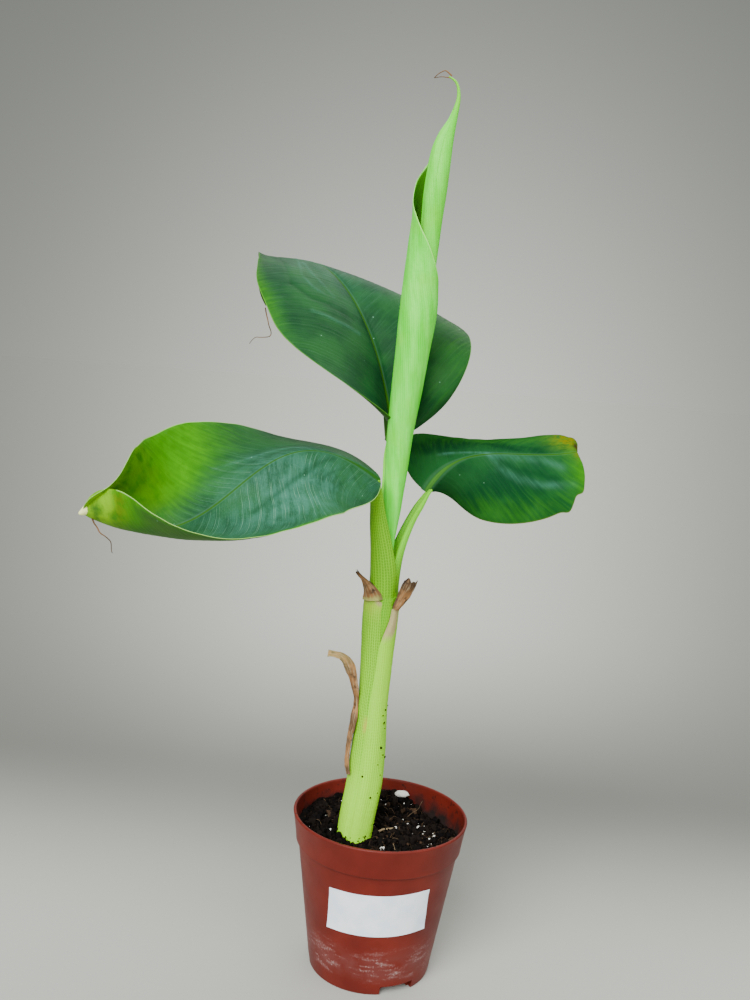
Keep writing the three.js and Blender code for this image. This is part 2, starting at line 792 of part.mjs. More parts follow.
function outerTurnGeometry() {
  const { line, marginFrom, marginTo, backAngle, thickness } = OUTER_TURN;
  const first = line[0][2];
  const last = line[line.length - 1][2];
  const skin = (lift) =>
    evenSteps(STEPS.outerTurn.up).map((s) => {
      const height = THREE.MathUtils.lerp(first, last, s);
      const [x, y, radius] = spindleAt(line, height);
      const wound = (height - marginFrom.height) / (marginTo.height - marginFrom.height);
      const share = THREE.MathUtils.clamp(wound, 0, 1);
      const margin = THREE.MathUtils.lerp(marginFrom.angle, marginTo.angle, share);
      return evenSteps(STEPS.outerTurn.round).map((t) => {
        const angle = THREE.MathUtils.lerp(backAngle, margin, t);
        return levelPoint(x, y, height, radius - thickness + lift, angle);
      });
    });
  return plate(skin(thickness), skin(0));
}

function rolledLeafGeometry() {
  const innerTurn = sweptLimb(INNER_TURN, STEPS.innerTurn);
  const joined = solidOf(spindleGeometry())
    .add(solidOf(innerTurn))
    .add(solidOf(outerTurnGeometry()));
  return geometryOf(mainBody(joined));
}

// Assembly -------------------------------------------------------------------

const plant = new THREE.Group();

function addPiece(name, geometry, [color, roughness]) {
  const material = new THREE.MeshStandardMaterial({ color, roughness, metalness: 0 });
  const mesh = new THREE.Mesh(geometry, material);
  mesh.name = name;
  plant.add(mesh);
}

addPiece("pot", potGeometry(), FINISHES.terracottaPlastic);
addPiece("pot_label", labelGeometry(), FINISHES.paper);
addPiece("soil", revolved(soilProfile, STEPS.soilRound), FINISHES.peat);
CRUMBS.forEach((crumb, i) => {
  addPiece(`perlite_${i + 1}`, crumbGeometry(crumb), FINISHES.perlite);
});

const { foot, sheathTop, forkHeight } = STEM;
const stemCore = stemLimb(foot[2], forkHeight, coreRadius);
addPiece("pseudostem", stemCore, FINISHES.stem);
addPiece("sheath_left", leftSheath(), FINISHES.stem);
addPiece("sheath_right", rightSheath(), FINISHES.stem);

// The left stalk lies outermost, then the right one, then the back one, all
// round the rolled leaf's spindle.
const spindleRoom = spindleGeometry(CLEARANCE);
const leftRoom = stalkGeometry("left", STALK_ROOM);
const rightRoom = stalkGeometry("right", STALK_ROOM);
const stalks = {
  left: carve(stalkGeometry("left"), [spindleRoom]),
  right: carve(stalkGeometry("right"), [spindleRoom, leftRoom]),
  back: carve(stalkGeometry("back"), [spindleRoom, leftRoom, rightRoom]),
};
for (const name of Object.keys(STALKS)) {
  addPiece(`stalk_${name}`, stalks[name], FINISHES.stalk);
}
for (const name of Object.keys(BLADES)) {
  const rooms = [spindleRoom, stalkGeometry(name, STALK_ROOM)];
  addPiece(`leaf_${name}`, carve(bladeGeometry(name), rooms), FINISHES.blade);
}
addPiece("rolled_leaf", rolledLeafGeometry(), FINISHES.youngLeaf);

const coreRoom = stemLimb(foot[2], forkHeight + 1, (height) => coreRadius(height) + CLEARANCE);
for (const [name, stump] of Object.entries(STUMPS)) {
  const shape = { ...stump, levelFoot: true };
  const whole = channelGeometry(shape, bezierCurve(stump.path), STEPS.stump);
  addPiece(name, carve(whole, [coreRoom, leftRoom, rightRoom]), FINISHES.deadSheath);
}
const stemRoom = stemLimb(foot[2], sheathTop, (height) => stemAt(height)[2] + 1.5 * CLEARANCE);
addPiece("husk", carve(huskGeometry(), [stemRoom]), FINISHES.deadSheath);

for (const [name, points] of Object.entries(THREADS)) {
  const { rootRadius, tipRadius } = THREAD;
  const tapered = points.map((point, i) => {
    const share = i / (points.length - 1);
    return [...point, THREE.MathUtils.lerp(rootRadius, tipRadius, share)];
  });
  addPiece(name, sweptLimb(tapered, STEPS.thread), FINISHES.deadSheath);
}

export default plant;
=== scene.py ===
"""A young banana plant in a small plastic nursery pot, dressed for a close look.

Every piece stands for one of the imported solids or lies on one. Sizes are in
millimetres, +Z up, with the front of the plant towards -Y, and become metres
where a mesh is made.
"""

import logging
import math
from dataclasses import dataclass, field
from enum import Enum
from typing import Callable, Sequence

import bmesh
import bpy
import numpy as np
from mathutils import Matrix


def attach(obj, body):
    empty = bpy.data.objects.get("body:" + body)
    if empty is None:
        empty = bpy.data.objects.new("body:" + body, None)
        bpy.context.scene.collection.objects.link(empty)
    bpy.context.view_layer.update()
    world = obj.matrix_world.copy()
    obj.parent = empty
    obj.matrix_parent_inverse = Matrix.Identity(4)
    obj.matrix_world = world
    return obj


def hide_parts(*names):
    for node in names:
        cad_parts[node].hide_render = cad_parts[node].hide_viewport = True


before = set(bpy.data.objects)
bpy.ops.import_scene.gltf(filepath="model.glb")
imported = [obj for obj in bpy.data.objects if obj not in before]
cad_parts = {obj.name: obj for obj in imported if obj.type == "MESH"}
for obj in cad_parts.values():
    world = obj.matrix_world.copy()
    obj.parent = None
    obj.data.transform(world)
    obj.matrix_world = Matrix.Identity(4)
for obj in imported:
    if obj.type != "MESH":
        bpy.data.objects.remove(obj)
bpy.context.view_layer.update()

log = logging.getLogger("banana_plant")

Array = np.ndarray
Socket = bpy.types.NodeSocket
Colour = tuple[float, float, float]

MM = 0.001
BODY = "root"
FULL_TURN = 2 * math.pi


class Slot(Enum):
    """The record's material slots."""

    POT = "pot_plastic"
    LABEL = "label_paper"
    SOIL = "soil"
    PERLITE = "perlite"
    STEM = "stem"
    STALK = "stalk"
    LEAF = "leaf"
    YOUNG_LEAF = "young_leaf"
    DEAD = "dead_sheath"


class Side(Enum):
    """The two halves of a blade, with the sign of their way out."""

    LEFT = -1
    RIGHT = 1


# Curves and fields ----------------------------------------------------------


def unit(vectors: Array) -> Array:
    """Vectors of length one along the last axis."""
    return vectors / np.linalg.norm(vectors, axis=-1, keepdims=True)


def smooth(value: Array, low: float, high: float) -> Array:
    """An even step from 0 at low to 1 at high."""
    share = np.clip((np.asarray(value, float) - low) / (high - low), 0, 1)
    return share * share * (3 - 2 * share)


def bell(value: Array, width: float) -> Array:
    """A bump of height 1 at 0 that falls off over a width."""
    return np.exp(-((np.asarray(value) / width) ** 2))


def bezier(controls: Sequence, s: Array) -> Array:
    """A cubic Bezier of numbers or of points.

    Args:
        controls: Four numbers, or four points.
        s: Places along it, 0 to 1 between its ends.

    Returns:
        One number or one point for each place.
    """
    s = np.asarray(s, float)
    t = 1 - s
    weights = np.stack([t**3, 3 * s * t**2, 3 * s**2 * t, s**3], -1)
    return weights @ np.asarray(controls, float)


def bezier_heading(points: Sequence, s: Array) -> Array:
    """The unit tangents of a cubic Bezier of points at the places s."""
    s = np.asarray(s, float)
    t = 1 - s
    weights = np.stack([t**2, 2 * s * t, s**2], -1)
    return unit(weights @ np.diff(np.asarray(points, float), axis=0))


def through(stations: Sequence, places: Array) -> Array:
    """A smooth curve through stations.

    Args:
        stations: Rows of numbers, such as x, y, z and radius.
        places: Station numbers, with fractions between two stations.

    Returns:
        One row of numbers for each place.
    """
    rows = np.asarray(stations, float)
    last = len(rows) - 1
    first = np.clip(np.floor(places).astype(int), 0, last - 1)
    s = (places - first)[..., None]
    a, b, c, d = (rows[np.clip(first + step, 0, last)] for step in (-1, 0, 1, 2))
    bend = 2 * a - 5 * b + 4 * c - d + s * (3 * b - 3 * c + d - a)
    return b + 0.5 * s * (c - a + s * bend)


def at_height(stations: Sequence, heights: Array) -> tuple[Array, Array, Array]:
    """Reads rows of x, y, z and radius at any height.

    Args:
        stations: The rows, from the lowest up.
        heights: The heights to read at.

    Returns:
        x, y and radius at each height.
    """
    rows = np.asarray(stations, float)
    found = through(rows, np.interp(heights, rows[:, 2], np.arange(len(rows))))
    return found[..., 0], found[..., 1], found[..., 3]


def run_length(path: Array) -> Array:
    """How far along a path each of its points is."""
    return np.concatenate([[0], np.cumsum(np.linalg.norm(np.diff(path, axis=0), axis=1))])


def points_at(x: Array, y: Array | float, z: Array | float = 0.0) -> Array:
    """Points from their coordinates, which may be grids or numbers."""
    return np.stack(np.broadcast_arrays(x, y, z), -1)


def around(radius: Array, turn: Array, height: Array | float) -> Array:
    """Points about the upright axis, by radians from the front to the right."""
    return points_at(radius * np.sin(turn), -radius * np.cos(turn), height)


def level_rings(stations: Sequence, heights: Array, turn: Array, lift: Array) -> Array:
    """Points round a row of level circles.

    Args:
        stations: Rows of x, y, z and radius, from the lowest up.
        heights: One height for each row of points.
        turn: Angles in degrees from the front to the right, rows by columns.
        lift: Distance out from the circles, rows by columns.

    Returns:
        Points, rows by columns by 3.
    """
    x, y, radius = (values[:, None] for values in at_height(stations, heights))
    return points_at(x, y) + around(radius + lift, np.radians(turn), heights[:, None])


@dataclass(frozen=True)
class Ripple:
    """A smooth random field in space, mostly between -1 and 1."""

    wavelength: float
    seed: int
    waves: int = 14

    def at(self, points: Array, stretch: Sequence[float] = (1, 1, 1)) -> Array:
        """Reads the field.

        Args:
            points: Places in space, along the last axis.
            stretch: How many times longer the waves are along each axis.

        Returns:
            One number for each place.
        """
        rng = np.random.default_rng(self.seed)
        heading = unit(rng.normal(size=(self.waves, 3)))
        length = self.wavelength * rng.uniform(0.6, 1.7, self.waves)
        phase = rng.uniform(0, FULL_TURN, self.waves)
        crests = (points / np.asarray(stretch)) @ (heading * FULL_TURN / length[:, None]).T
        return np.sin(crests + phase).sum(-1) / math.sqrt(self.waves)


# Surfaces -------------------------------------------------------------------


@dataclass
class Surface:
    """A mesh in the making: points, blocks of faces, and marks, which are named
    numbers that each point carries for its finish."""

    points: Array
    faces: list[Array]
    marks: dict[str, Array] = field(default_factory=dict)


def merged(surfaces: Sequence[Surface]) -> Surface:
    """Several surfaces as one; a mark that one of them lacks is 0 there."""
    names = {name for surface in surfaces for name in surface.marks}
    faces = []
    count = 0
    for surface in surfaces:
        faces += [block + count for block in surface.faces]
        count += len(surface.points)
    marks = {
        name: np.concatenate([s.marks.get(name, np.zeros(len(s.points))) for s in surfaces])
        for name in sorted(names)
    }
    return Surface(np.concatenate([s.points for s in surfaces]), faces, marks)


def grid_faces(rows: int, columns: int, closed: bool = False) -> Array:
    """The quads of a grid of points.

    Args:
        rows: Rows of points.
        columns: Points in a row.
        closed: Whether each row ends where it starts.

    Returns:
        An array of quads.
    """
    i = np.arange(rows - 1)[:, None] * columns
    j = np.arange(columns if closed else columns - 1)[None, :]
    k = (j + 1) % columns
    corners = [i + j, i + k, i + columns + k, i + columns + j]
    return np.stack(np.broadcast_arrays(*corners), -1).reshape(-1, 4)


def plate(top: Array, bottom: Array, marks: dict[str, Array] | None = None) -> Surface:
    """A closed sheet between two grids of points that face each other.

    Args:
        top: Points, rows by columns by 3.
        bottom: The points under them.
        marks: Numbers for each point of the grid, alike on both sides.

    Returns:
        The sheet, with the mark "under" 0 on top and 1 underneath.
    """
    rows, columns = top.shape[:2]
    count = rows * columns
    index = np.arange(count).reshape(rows, columns)
    quads = grid_faces(rows, columns)
    border = [index[0, :-1], index[:-1, -1], index[-1, :0:-1], index[:0:-1, 0]]
    ring = np.concatenate(border)
    after = np.roll(ring, -1)
    rim = np.stack([after, ring, ring + count, after + count], -1)
    kept = {name: np.tile(values.reshape(-1), 2) for name, values in (marks or {}).items()}
    kept["under"] = np.repeat([0.0, 1.0], count)
    points = np.concatenate([top.reshape(-1, 3), bottom.reshape(-1, 3)])
    return Surface(points, [quads, quads[:, ::-1] + count, rim], kept)


def limb(rings: Array, marks: dict[str, Array] | None = None) -> Surface:
    """A closed body through rings of points, with a fan over each end.

    Args:
        rings: Points, rings by points by 3.
        marks: Numbers for each point of the rings.

    Returns:
        The body.
    """
    rows, columns = rings.shape[:2]
    points = rings.reshape(-1, 3)
    ends = rings[[0, -1]].mean(axis=1)
    start, finish = rows * columns, rows * columns + 1
    here = np.arange(columns)
    after = np.roll(here, -1)
    top = (rows - 1) * columns
    foot_fan = np.stack([after, here, np.full(columns, start)], -1)
    head_fan = np.stack([top + here, top + after, np.full(columns, finish)], -1)
    kept = {}
    for name, values in (marks or {}).items():
        grid = np.broadcast_to(values, (rows, columns))
        kept[name] = np.append(grid.reshape(-1), [grid[0].mean(), grid[-1].mean()])
    faces = [grid_faces(rows, columns, closed=True), foot_fan, head_fan]
    return Surface(np.concatenate([points, ends]), faces, kept)


def tube(path: Array, radii: Array, sides: int, marks: dict[str, Array] | None = None) -> Surface:
    """A round limb along a path, without twist.

    Args:
        path: Points along the middle.
        radii: The radius at each of them.
        sides: Points round each ring.
        marks: Numbers for each point of the path.

    Returns:
        The limb.
    """
    heading = unit(np.gradient(path, axis=0))
    across = np.zeros_like(path)
    side = np.cross(heading[0], [0.31, -0.9, 0.3])
    for i, way in enumerate(heading):
        side = side - way * (side @ way)
        side /= np.linalg.norm(side)
        across[i] = side
    ahead = np.cross(heading, across)
    turn = np.arange(sides) * FULL_TURN / sides
    round_it = across[:, None] * np.cos(turn)[:, None] + ahead[:, None] * np.sin(turn)[:, None]
    kept = {name: values[:, None] for name, values in (marks or {}).items()}
    return limb(path[:, None] + round_it * radii[:, None, None], kept)


def grid_normals(grid: Array) -> Array:
    """Unit normals of a grid of points, to the side of row cross column."""
    along = np.gradient(grid, axis=0)
    across = np.gradient(grid, axis=1)
    return unit(np.cross(across, along) + 1e-12)


def pebble(detail: int) -> tuple[Array, Array]:
    """Points and triangles of a ball of radius 1, coarse at detail 1."""
    ball = bmesh.new()
    bmesh.ops.create_icosphere(ball, subdivisions=detail, radius=1)
    points = np.array([vertex.co[:] for vertex in ball.verts])
    triangles = np.array([[vertex.index for vertex in face.verts] for face in ball.faces])
    ball.free()
    return points, triangles


def random_turns(rng: np.random.Generator, count: int) -> Array:
    """Random rotation matrices, one for each of a count."""
    first = unit(rng.normal(size=(count, 3)))
    second = np.cross(first, unit(rng.normal(size=(count, 3))))
    second = unit(second)
    return np.stack([first, second, np.cross(first, second)], -1)


def scattered(
    rng: np.random.Generator, centres: Array, sizes: Array, roughness: float, detail: int
) -> Surface:
    """Angular crumbs, each turned and bent its own way.

    Args:
        rng: Where the chances come from.
        centres: The middle of each crumb.
        sizes: Three half sizes for each.
        roughness: How far a corner moves in or out, as a share.
        detail: 1 for 20 faces a crumb, 2 for 80.

    Returns:
        All crumbs, with a mark "shade" from 0 to 1 for each.
    """
    ball, triangles = pebble(detail)
    count = len(centres)
    bent = 1 + roughness * rng.uniform(-1, 1, (count, len(ball), 1))
    local = ball[None] * bent * sizes[:, None]
    turned = np.einsum("nij,npj->npi", random_turns(rng, count), local)
    points = (turned + centres[:, None]).reshape(-1, 3)
    faces = (triangles[None] + np.arange(count)[:, None, None] * len(ball)).reshape(-1, 3)
    shade = np.repeat(rng.uniform(0, 1, count), len(ball))
    return Surface(points, [faces], {"shade": shade})


# Finishes -------------------------------------------------------------------


class Graph:
    """The nodes of one material, linked as they are made."""

    def __init__(self, name: str, world: bpy.types.World | None = None) -> None:
        """Starts a material with a lone Principled shader, or the world's nodes."""
        owner = world or bpy.data.materials.new(name)
        owner.use_nodes = True
        self.material = owner
        self.tree = owner.node_tree
        self.shader = self.tree.nodes["Background" if world else "Principled BSDF"]
        self.colour: Socket | None = None
        self.relief: Socket | None = None

    def feed(self, socket: Socket, value: Socket | float | Colour) -> None:
        """Links a socket, or sets it to a number or a colour."""
        if isinstance(value, bpy.types.NodeSocket):
            self.tree.links.new(value, socket)
        elif socket.type == "RGBA":
            socket.default_value = (*value, 1)
        else:
            socket.default_value = value

    def node(self, kind: str, inputs: dict, **settings: object) -> bpy.types.Node:
        """Adds a node.

        Args:
            kind: Its type.
            inputs: Values or sockets by input name or number.
            settings: The node's own properties.

        Returns:
            The node.
        """
        made = self.tree.nodes.new(kind)
        for name, value in settings.items():
            setattr(made, name, value)
        for key, value in inputs.items():
            self.feed(made.inputs[key], value)
        return made

    def mark(self, name: str) -> Socket:
        """A number that the mesh's points carry."""
        return self.node("ShaderNodeAttribute", {}, attribute_name=name).outputs["Fac"]

    def math(self, operation: str, first: Socket | float, second: Socket | float = 0.0) -> Socket:
        """One sum of two numbers."""
        return self.node("ShaderNodeMath", {0: first, 1: second}, operation=operation).outputs[0]

    def add(self, first: Socket | float, second: Socket | float) -> Socket:
        """The first number plus the second."""
        return self.math("ADD", first, second)

    def times(self, first: Socket | float, second: Socket | float) -> Socket:
        """The first number times the second."""
        return self.math("MULTIPLY", first, second)

    def rise(self, value: Socket, low: float, high: float, top: float = 1.0) -> Socket:
        """An even step from 0 at low to top at high."""
        inputs = {0: value, 1: low, 2: high, 3: 0.0, 4: top}
        step = self.node("ShaderNodeMapRange", inputs, interpolation_type="SMOOTHSTEP")
        return step.outputs[0]

    def fall(self, value: Socket, low: float, high: float, top: float = 1.0) -> Socket:
        """An even step from top at low to 0 at high."""
        inputs = {0: value, 1: low, 2: high, 3: top, 4: 0.0}
        step = self.node("ShaderNodeMapRange", inputs, interpolation_type="SMOOTHSTEP")
        return step.outputs[0]

    def mix(
        self,
        share: Socket | float,
        first: Socket | Colour,
        second: Socket | Colour,
        blend: str = "MIX",
    ) -> Socket:
        """A colour between two others, by a share of the second."""
        inputs = {0: share, 6: first, 7: second}
        return self.node("ShaderNodeMix", inputs, data_type="RGBA", blend_type=blend).outputs[2]

    def place(self, x: Socket | float, y: Socket | float, z: Socket | float) -> Socket:
        """A point from three numbers."""
        return self.node("ShaderNodeCombineXYZ", {0: x, 1: y, 2: z}).outputs[0]

    def noise(self, size: float, detail: float = 2.0, at: Socket | None = None) -> Socket:
        """Soft noise.

        Args:
            size: How large a patch is, in millimetres, or in the units of at.
            detail: How many finer layers it has.
            at: Where it is read, if not at the point in space.

        Returns:
            A number about 0.5, between 0 and 1.
        """
        if at is None:
            at = self.node("ShaderNodeTexCoord", {}).outputs["Object"]
            size = size * MM
        inputs = {"Vector": at, "Scale": 1 / size, "Detail": detail}
        return self.node("ShaderNodeTexNoise", inputs).outputs["Fac"]

    def patches(
        self, size: float, detail: float, low: float, high: float, top: float = 1.0
    ) -> Socket:
        """Soft patches from 0 to top, where noise of a size in millimetres rises
        from low to high."""
        return self.rise(self.noise(size, detail), low, high, top)

    def streaks(self, place: Socket, spacing: float, low: float, high: float) -> Socket:
        """Thin lines at uneven places along a number.

        Args:
            place: The number.
            spacing: The mean distance between lines.
            low: Half the width of a line's full strength, as a share of it.
            high: The same where it has faded.

        Returns:
            1 on a line and 0 off it.
        """
        inputs = {"W": self.times(place, 1 / spacing), "Scale": 1.0}
        cells = self.node("ShaderNodeTexVoronoi", inputs, voronoi_dimensions="1D")
        return self.fall(cells.outputs["Distance"], low, high)

    def specks(self, size: float, low: float, high: float) -> Socket:
        """Small round spots, one for each cell of a size in millimetres."""
        at = self.node("ShaderNodeTexCoord", {}).outputs["Object"]
        inputs = {"Vector": at, "Scale": 1 / (size * MM)}
        cells = self.node("ShaderNodeTexVoronoi", inputs)
        return self.fall(cells.outputs["Distance"], low, high)

    def waves(self, place: Socket, spacing: float) -> Socket:
        """A sine of a number, from -1 to 1."""
        return self.math("SINE", self.times(place, FULL_TURN / spacing))

    def ground(self, share: Socket, first: Colour, second: Colour) -> None:
        """Starts the colour as a blend of two."""
        self.colour = self.mix(share, first, second)

    def paint(self, share: Socket, over: Socket | Colour) -> None:
        """Lays a share of another colour over the colour."""
        self.colour = self.mix(share, self.colour, over)

    def emboss(self, height: Socket, depth: float) -> None:
        """Adds relief of a depth in millimetres to what is there."""
        inputs = {"Strength": 1.0, "Distance": depth * MM, "Height": height}
        if self.relief is not None:
            inputs["Normal"] = self.relief
        self.relief = self.node("ShaderNodeBump", inputs).outputs[0]

    def finish(self, roughness: Socket, gloss: float) -> None:
        """Feeds the shader with the colour, the relief, a roughness and how much
        it mirrors."""
        self.feed(self.shader.inputs["Base Color"], self.colour)
        self.feed(self.shader.inputs["Roughness"], roughness)
        self.feed(self.shader.inputs["Normal"], self.relief)
        self.feed(self.shader.inputs["Specular IOR Level"], gloss)


class Finish:
    """A surface finish. Its material is made once and shared."""

    name: str
    slot: Slot
    made: dict[str, bpy.types.Material] = {}

    def graph(self) -> Graph:
        """The finish's nodes; each kind of finish writes its own."""
        raise NotImplementedError

    def material(self) -> bpy.types.Material:
        """The finish's material."""
        if self.name not in Finish.made:
            Finish.made[self.name] = self.graph().material
        return Finish.made[self.name]


@dataclass(frozen=True)
class BladeFinish(Finish):
    """A green blade with its midrib, parallel veins, painted sheen, painted light and
    shade, and margin.

    It reads the marks along, reach and rim in millimetres, and the shares
    under, glow, bloom, wither, gold, burnt and
    crease. Glow is painted light shining through the blade, bloom a
    painted reflection of the sky, wither real yellowing in
    some places and painted light in others, and crease painted shade in
    the creases and at the back blade's tip.
    """

    name: str = "blade_green"
    slot: Slot = Slot.LEAF
    margin: Colour = (0.3, 0.6, 0.12)
    deep: Colour = (0.005, 0.045, 0.013)
    green: Colour = (0.013, 0.085, 0.019)
    # Painted light: lit and lit_deep stand for light shining through the blade.
    lit: Colour = (0.05, 0.27, 0.0)
    lit_deep: Colour = (0.034, 0.2, 0.0)
    # Painted reflection: the blue-grey sheen of the sky on the blade.
    sheen: Colour = (0.042, 0.165, 0.11)
    vein: Colour = (0.16, 0.38, 0.24)
    rib: Colour = (0.026, 0.1, 0.004)
    rib_base: Colour = (0.07, 0.3, 0.008)
    rib_half: float = 0.45
    gloss: float = 0.05
    vein_share: float = 1.0
    underside: Colour = (0.085, 0.22, 0.012)
    yellow: Colour = (0.2, 0.46, 0.0)
    gold: Colour = (0.14, 0.15, 0.0)
    dead: Colour = (0.03, 0.018, 0.008)
    vein_lean: float = 0.62
    fine_spacing: float = 0.9
    middle_spacing: float = 3.1
    strong_spacing: float = 3.6
    rib_flare: float = 1.1
    rib_run: float = 34

    def graph(self) -> Graph:
        """Builds the nodes."""
        g = Graph(self.name)
        along, reach, rim = g.mark("along"), g.mark("reach"), g.mark("rim")
        under, glow, bloom = g.mark("under"), g.mark("glow"), g.mark("bloom")
        away = g.math("ABSOLUTE", reach)
        drift = g.times(g.noise(16, 1), 3.0)
        vein_place = g.add(g.add(along, g.times(away, -self.vein_lean)), drift)
        fine = g.waves(vein_place, self.fine_spacing)
        middle = g.waves(vein_place, self.middle_spacing)
        strong = g.streaks(vein_place, self.strong_spacing, 0.01, 0.055)
        broken = g.patches(9, 2, 0.36, 0.56)
        open_blade = g.rise(away, 0.9, 3.0)
        stretched = g.place(g.times(vein_place, 0.45), g.times(reach, 0.06), 0.0)
        streaky = g.noise(1, 3, stretched)

        g.ground(g.patches(22, 3, 0.35, 0.65), self.deep, self.green)
        g.paint(g.rise(streaky, 0.42, 0.66, 0.2), self.green)
        patchy = g.add(g.times(g.noise(7, 4), 0.5), g.times(streaky, 0.5))
        # Painted sheen: a blue-grey painted reflection of the sky where the bloom mark is.
        sheen_share = g.times(bloom, g.add(0.35, g.rise(patchy, 0.38, 0.62, 0.65)))
        g.paint(sheen_share, self.sheen)
        blotches = g.add(g.times(g.noise(4.5, 4), 0.6), g.times(streaky, 0.4))
        # Painted light shining through the blade, where the glow mark is.
        lit = g.mix(g.rise(blotches, 0.35, 0.65), self.lit_deep, self.lit)
        ragged = g.add(glow, g.times(g.add(streaky, -0.5), g.fall(glow, 0.3, 1.1, 0.35)))
        g.paint(g.rise(ragged, 0.06, 0.85), lit)
        dull = g.math("SUBTRACT", 1.0, g.rise(glow, 0.1, 0.6))
        dots = g.patches(0.8, 2, 0.4, 0.6)
        # The veins show stronger within the painted sheen.
        lines = g.times(g.times(g.rise(fine, -0.2, 1.0), dots), g.add(0.04, g.times(bloom, 0.14)))
        open_vein = g.times(g.times(open_blade, dull), self.vein_share)
        g.paint(g.times(lines, open_vein), self.vein)
        pale = g.times(g.times(strong, broken), g.add(0.1, g.times(bloom, 0.55)))
        g.paint(g.times(pale, open_vein), self.vein)
        # Painted shade in the creases and at the back blade's tip.
        g.paint(g.times(g.mark("crease"), 0.6), self.deep)
        wide = g.add(self.rib_half, g.fall(along, 0, self.rib_run, self.rib_flare))
        from_rib = g.math("DIVIDE", away, wide)
        rib = g.mix(g.fall(along, 4, 40), self.rib, self.rib_base)
        beside = g.times(g.rise(from_rib, 0.9, 1.4), g.fall(from_rib, 1.6, 3.0, 0.1))
        g.paint(g.times(beside, dull), self.vein)
        g.paint(g.fall(from_rib, 0.7, 1.3, 0.9), rib)
        pale_under = g.mix(g.noise(14, 2), self.underside, self.green)
        g.paint(g.times(under, g.add(0.9, g.times(glow, -0.8))), pale_under)
        # Yellow paint: real yellowing in places, and painted light where the left blade turns from
        # the light.
        ripe = g.times(g.mark("wither"), g.patches(6, 3, 0.25, 0.6))
        g.paint(ripe, self.yellow)
        golden = g.times(g.mark("gold"), g.patches(3, 3, 0.3, 0.6))
        g.paint(golden, self.gold)
        g.paint(g.specks(9, 0.02, 0.045), self.vein)
        g.paint(g.fall(rim, 0.15, 0.6, 0.85), self.margin)
        g.paint(g.mark("burnt"), self.dead)

        rough = g.add(0.4, g.times(g.noise(5, 3), 0.14))
        g.emboss(g.times(fine, open_blade), 0.012)
        g.emboss(g.times(middle, open_blade), 0.02)
        g.emboss(g.times(strong, open_blade), 0.04)
        g.emboss(g.noise(2.2, 4), 0.07)
        g.finish(rough, self.gloss)
        return g


@dataclass(frozen=True)
class StalkFinish(Finish):
    """Smooth living tissue with long fibres, for the stalks and the stem.

    It reads the marks turn and along in millimetres and the shares pale, warm,
    papery and inner.
    """

    name: str = "stalk_green"
    slot: Slot = Slot.STALK
    green: Colour = (0.13, 0.4, 0.0)
    shade: Colour = (0.09, 0.3, 0.0)
    pale: Colour = (0.2, 0.85, 0.03)
    warm: Colour = (0.5, 0.42, 0.06)
    paper: Colour = (0.44, 0.38, 0.17)
    fibre: Colour = (0.3, 0.74, 0.0)
    channel: Colour = (0.16, 0.6, 0.06)
    fibre_spacing: float = 1.15
    cross_spacing: float = 1.5
    fibre_strength: float = 0.6
    gloss: float = 0.18

    def graph(self) -> Graph:
        """Builds the nodes."""
        g = Graph(self.name)
        turn, along = g.mark("turn"), g.mark("along")
        wander = g.times(g.noise(1, 1, g.place(g.times(along, 0.03), g.times(turn, 0.2), 0.0)), 1.6)
        fibres = g.waves(g.add(turn, wander), self.fibre_spacing)
        stagger = g.times(g.waves(turn, 2 * self.fibre_spacing), 0.3)
        cross = g.waves(g.add(along, g.add(wander, stagger)), self.cross_spacing)
        lattice = g.math("MAXIMUM", g.rise(fibres, 0.1, 0.95), g.rise(cross, 0.4, 1.0, 0.75))
        long_spots = g.noise(1, 3, g.place(g.times(turn, 0.28), g.times(along, 0.035), 0.0))

        g.ground(g.rise(long_spots, 0.35, 0.7), self.green, self.shade)
        pale = g.add(g.mark("pale"), g.times(g.add(long_spots, -0.5), 0.35))
        g.paint(g.rise(pale, 0.0, 1.0), self.pale)
        g.paint(g.mark("inner"), self.channel)
        g.paint(g.times(lattice, self.fibre_strength), self.fibre)
        warm = g.times(g.mark("warm"), g.patches(5, 3, 0.3, 0.65))
        g.paint(warm, self.warm)
        torn = g.times(g.mark("papery"), g.add(0.55, g.times(long_spots, 0.6)))
        g.paint(g.rise(torn, 0.2, 0.75), self.paper)

        rough = g.add(0.34, g.times(g.noise(3, 3), 0.2))
        rough = g.add(rough, g.times(g.mark("papery"), 0.3))
        g.emboss(lattice, 0.05)
        g.emboss(g.noise(2.5, 4), 0.12)
        g.finish(rough, self.gloss)
        return g


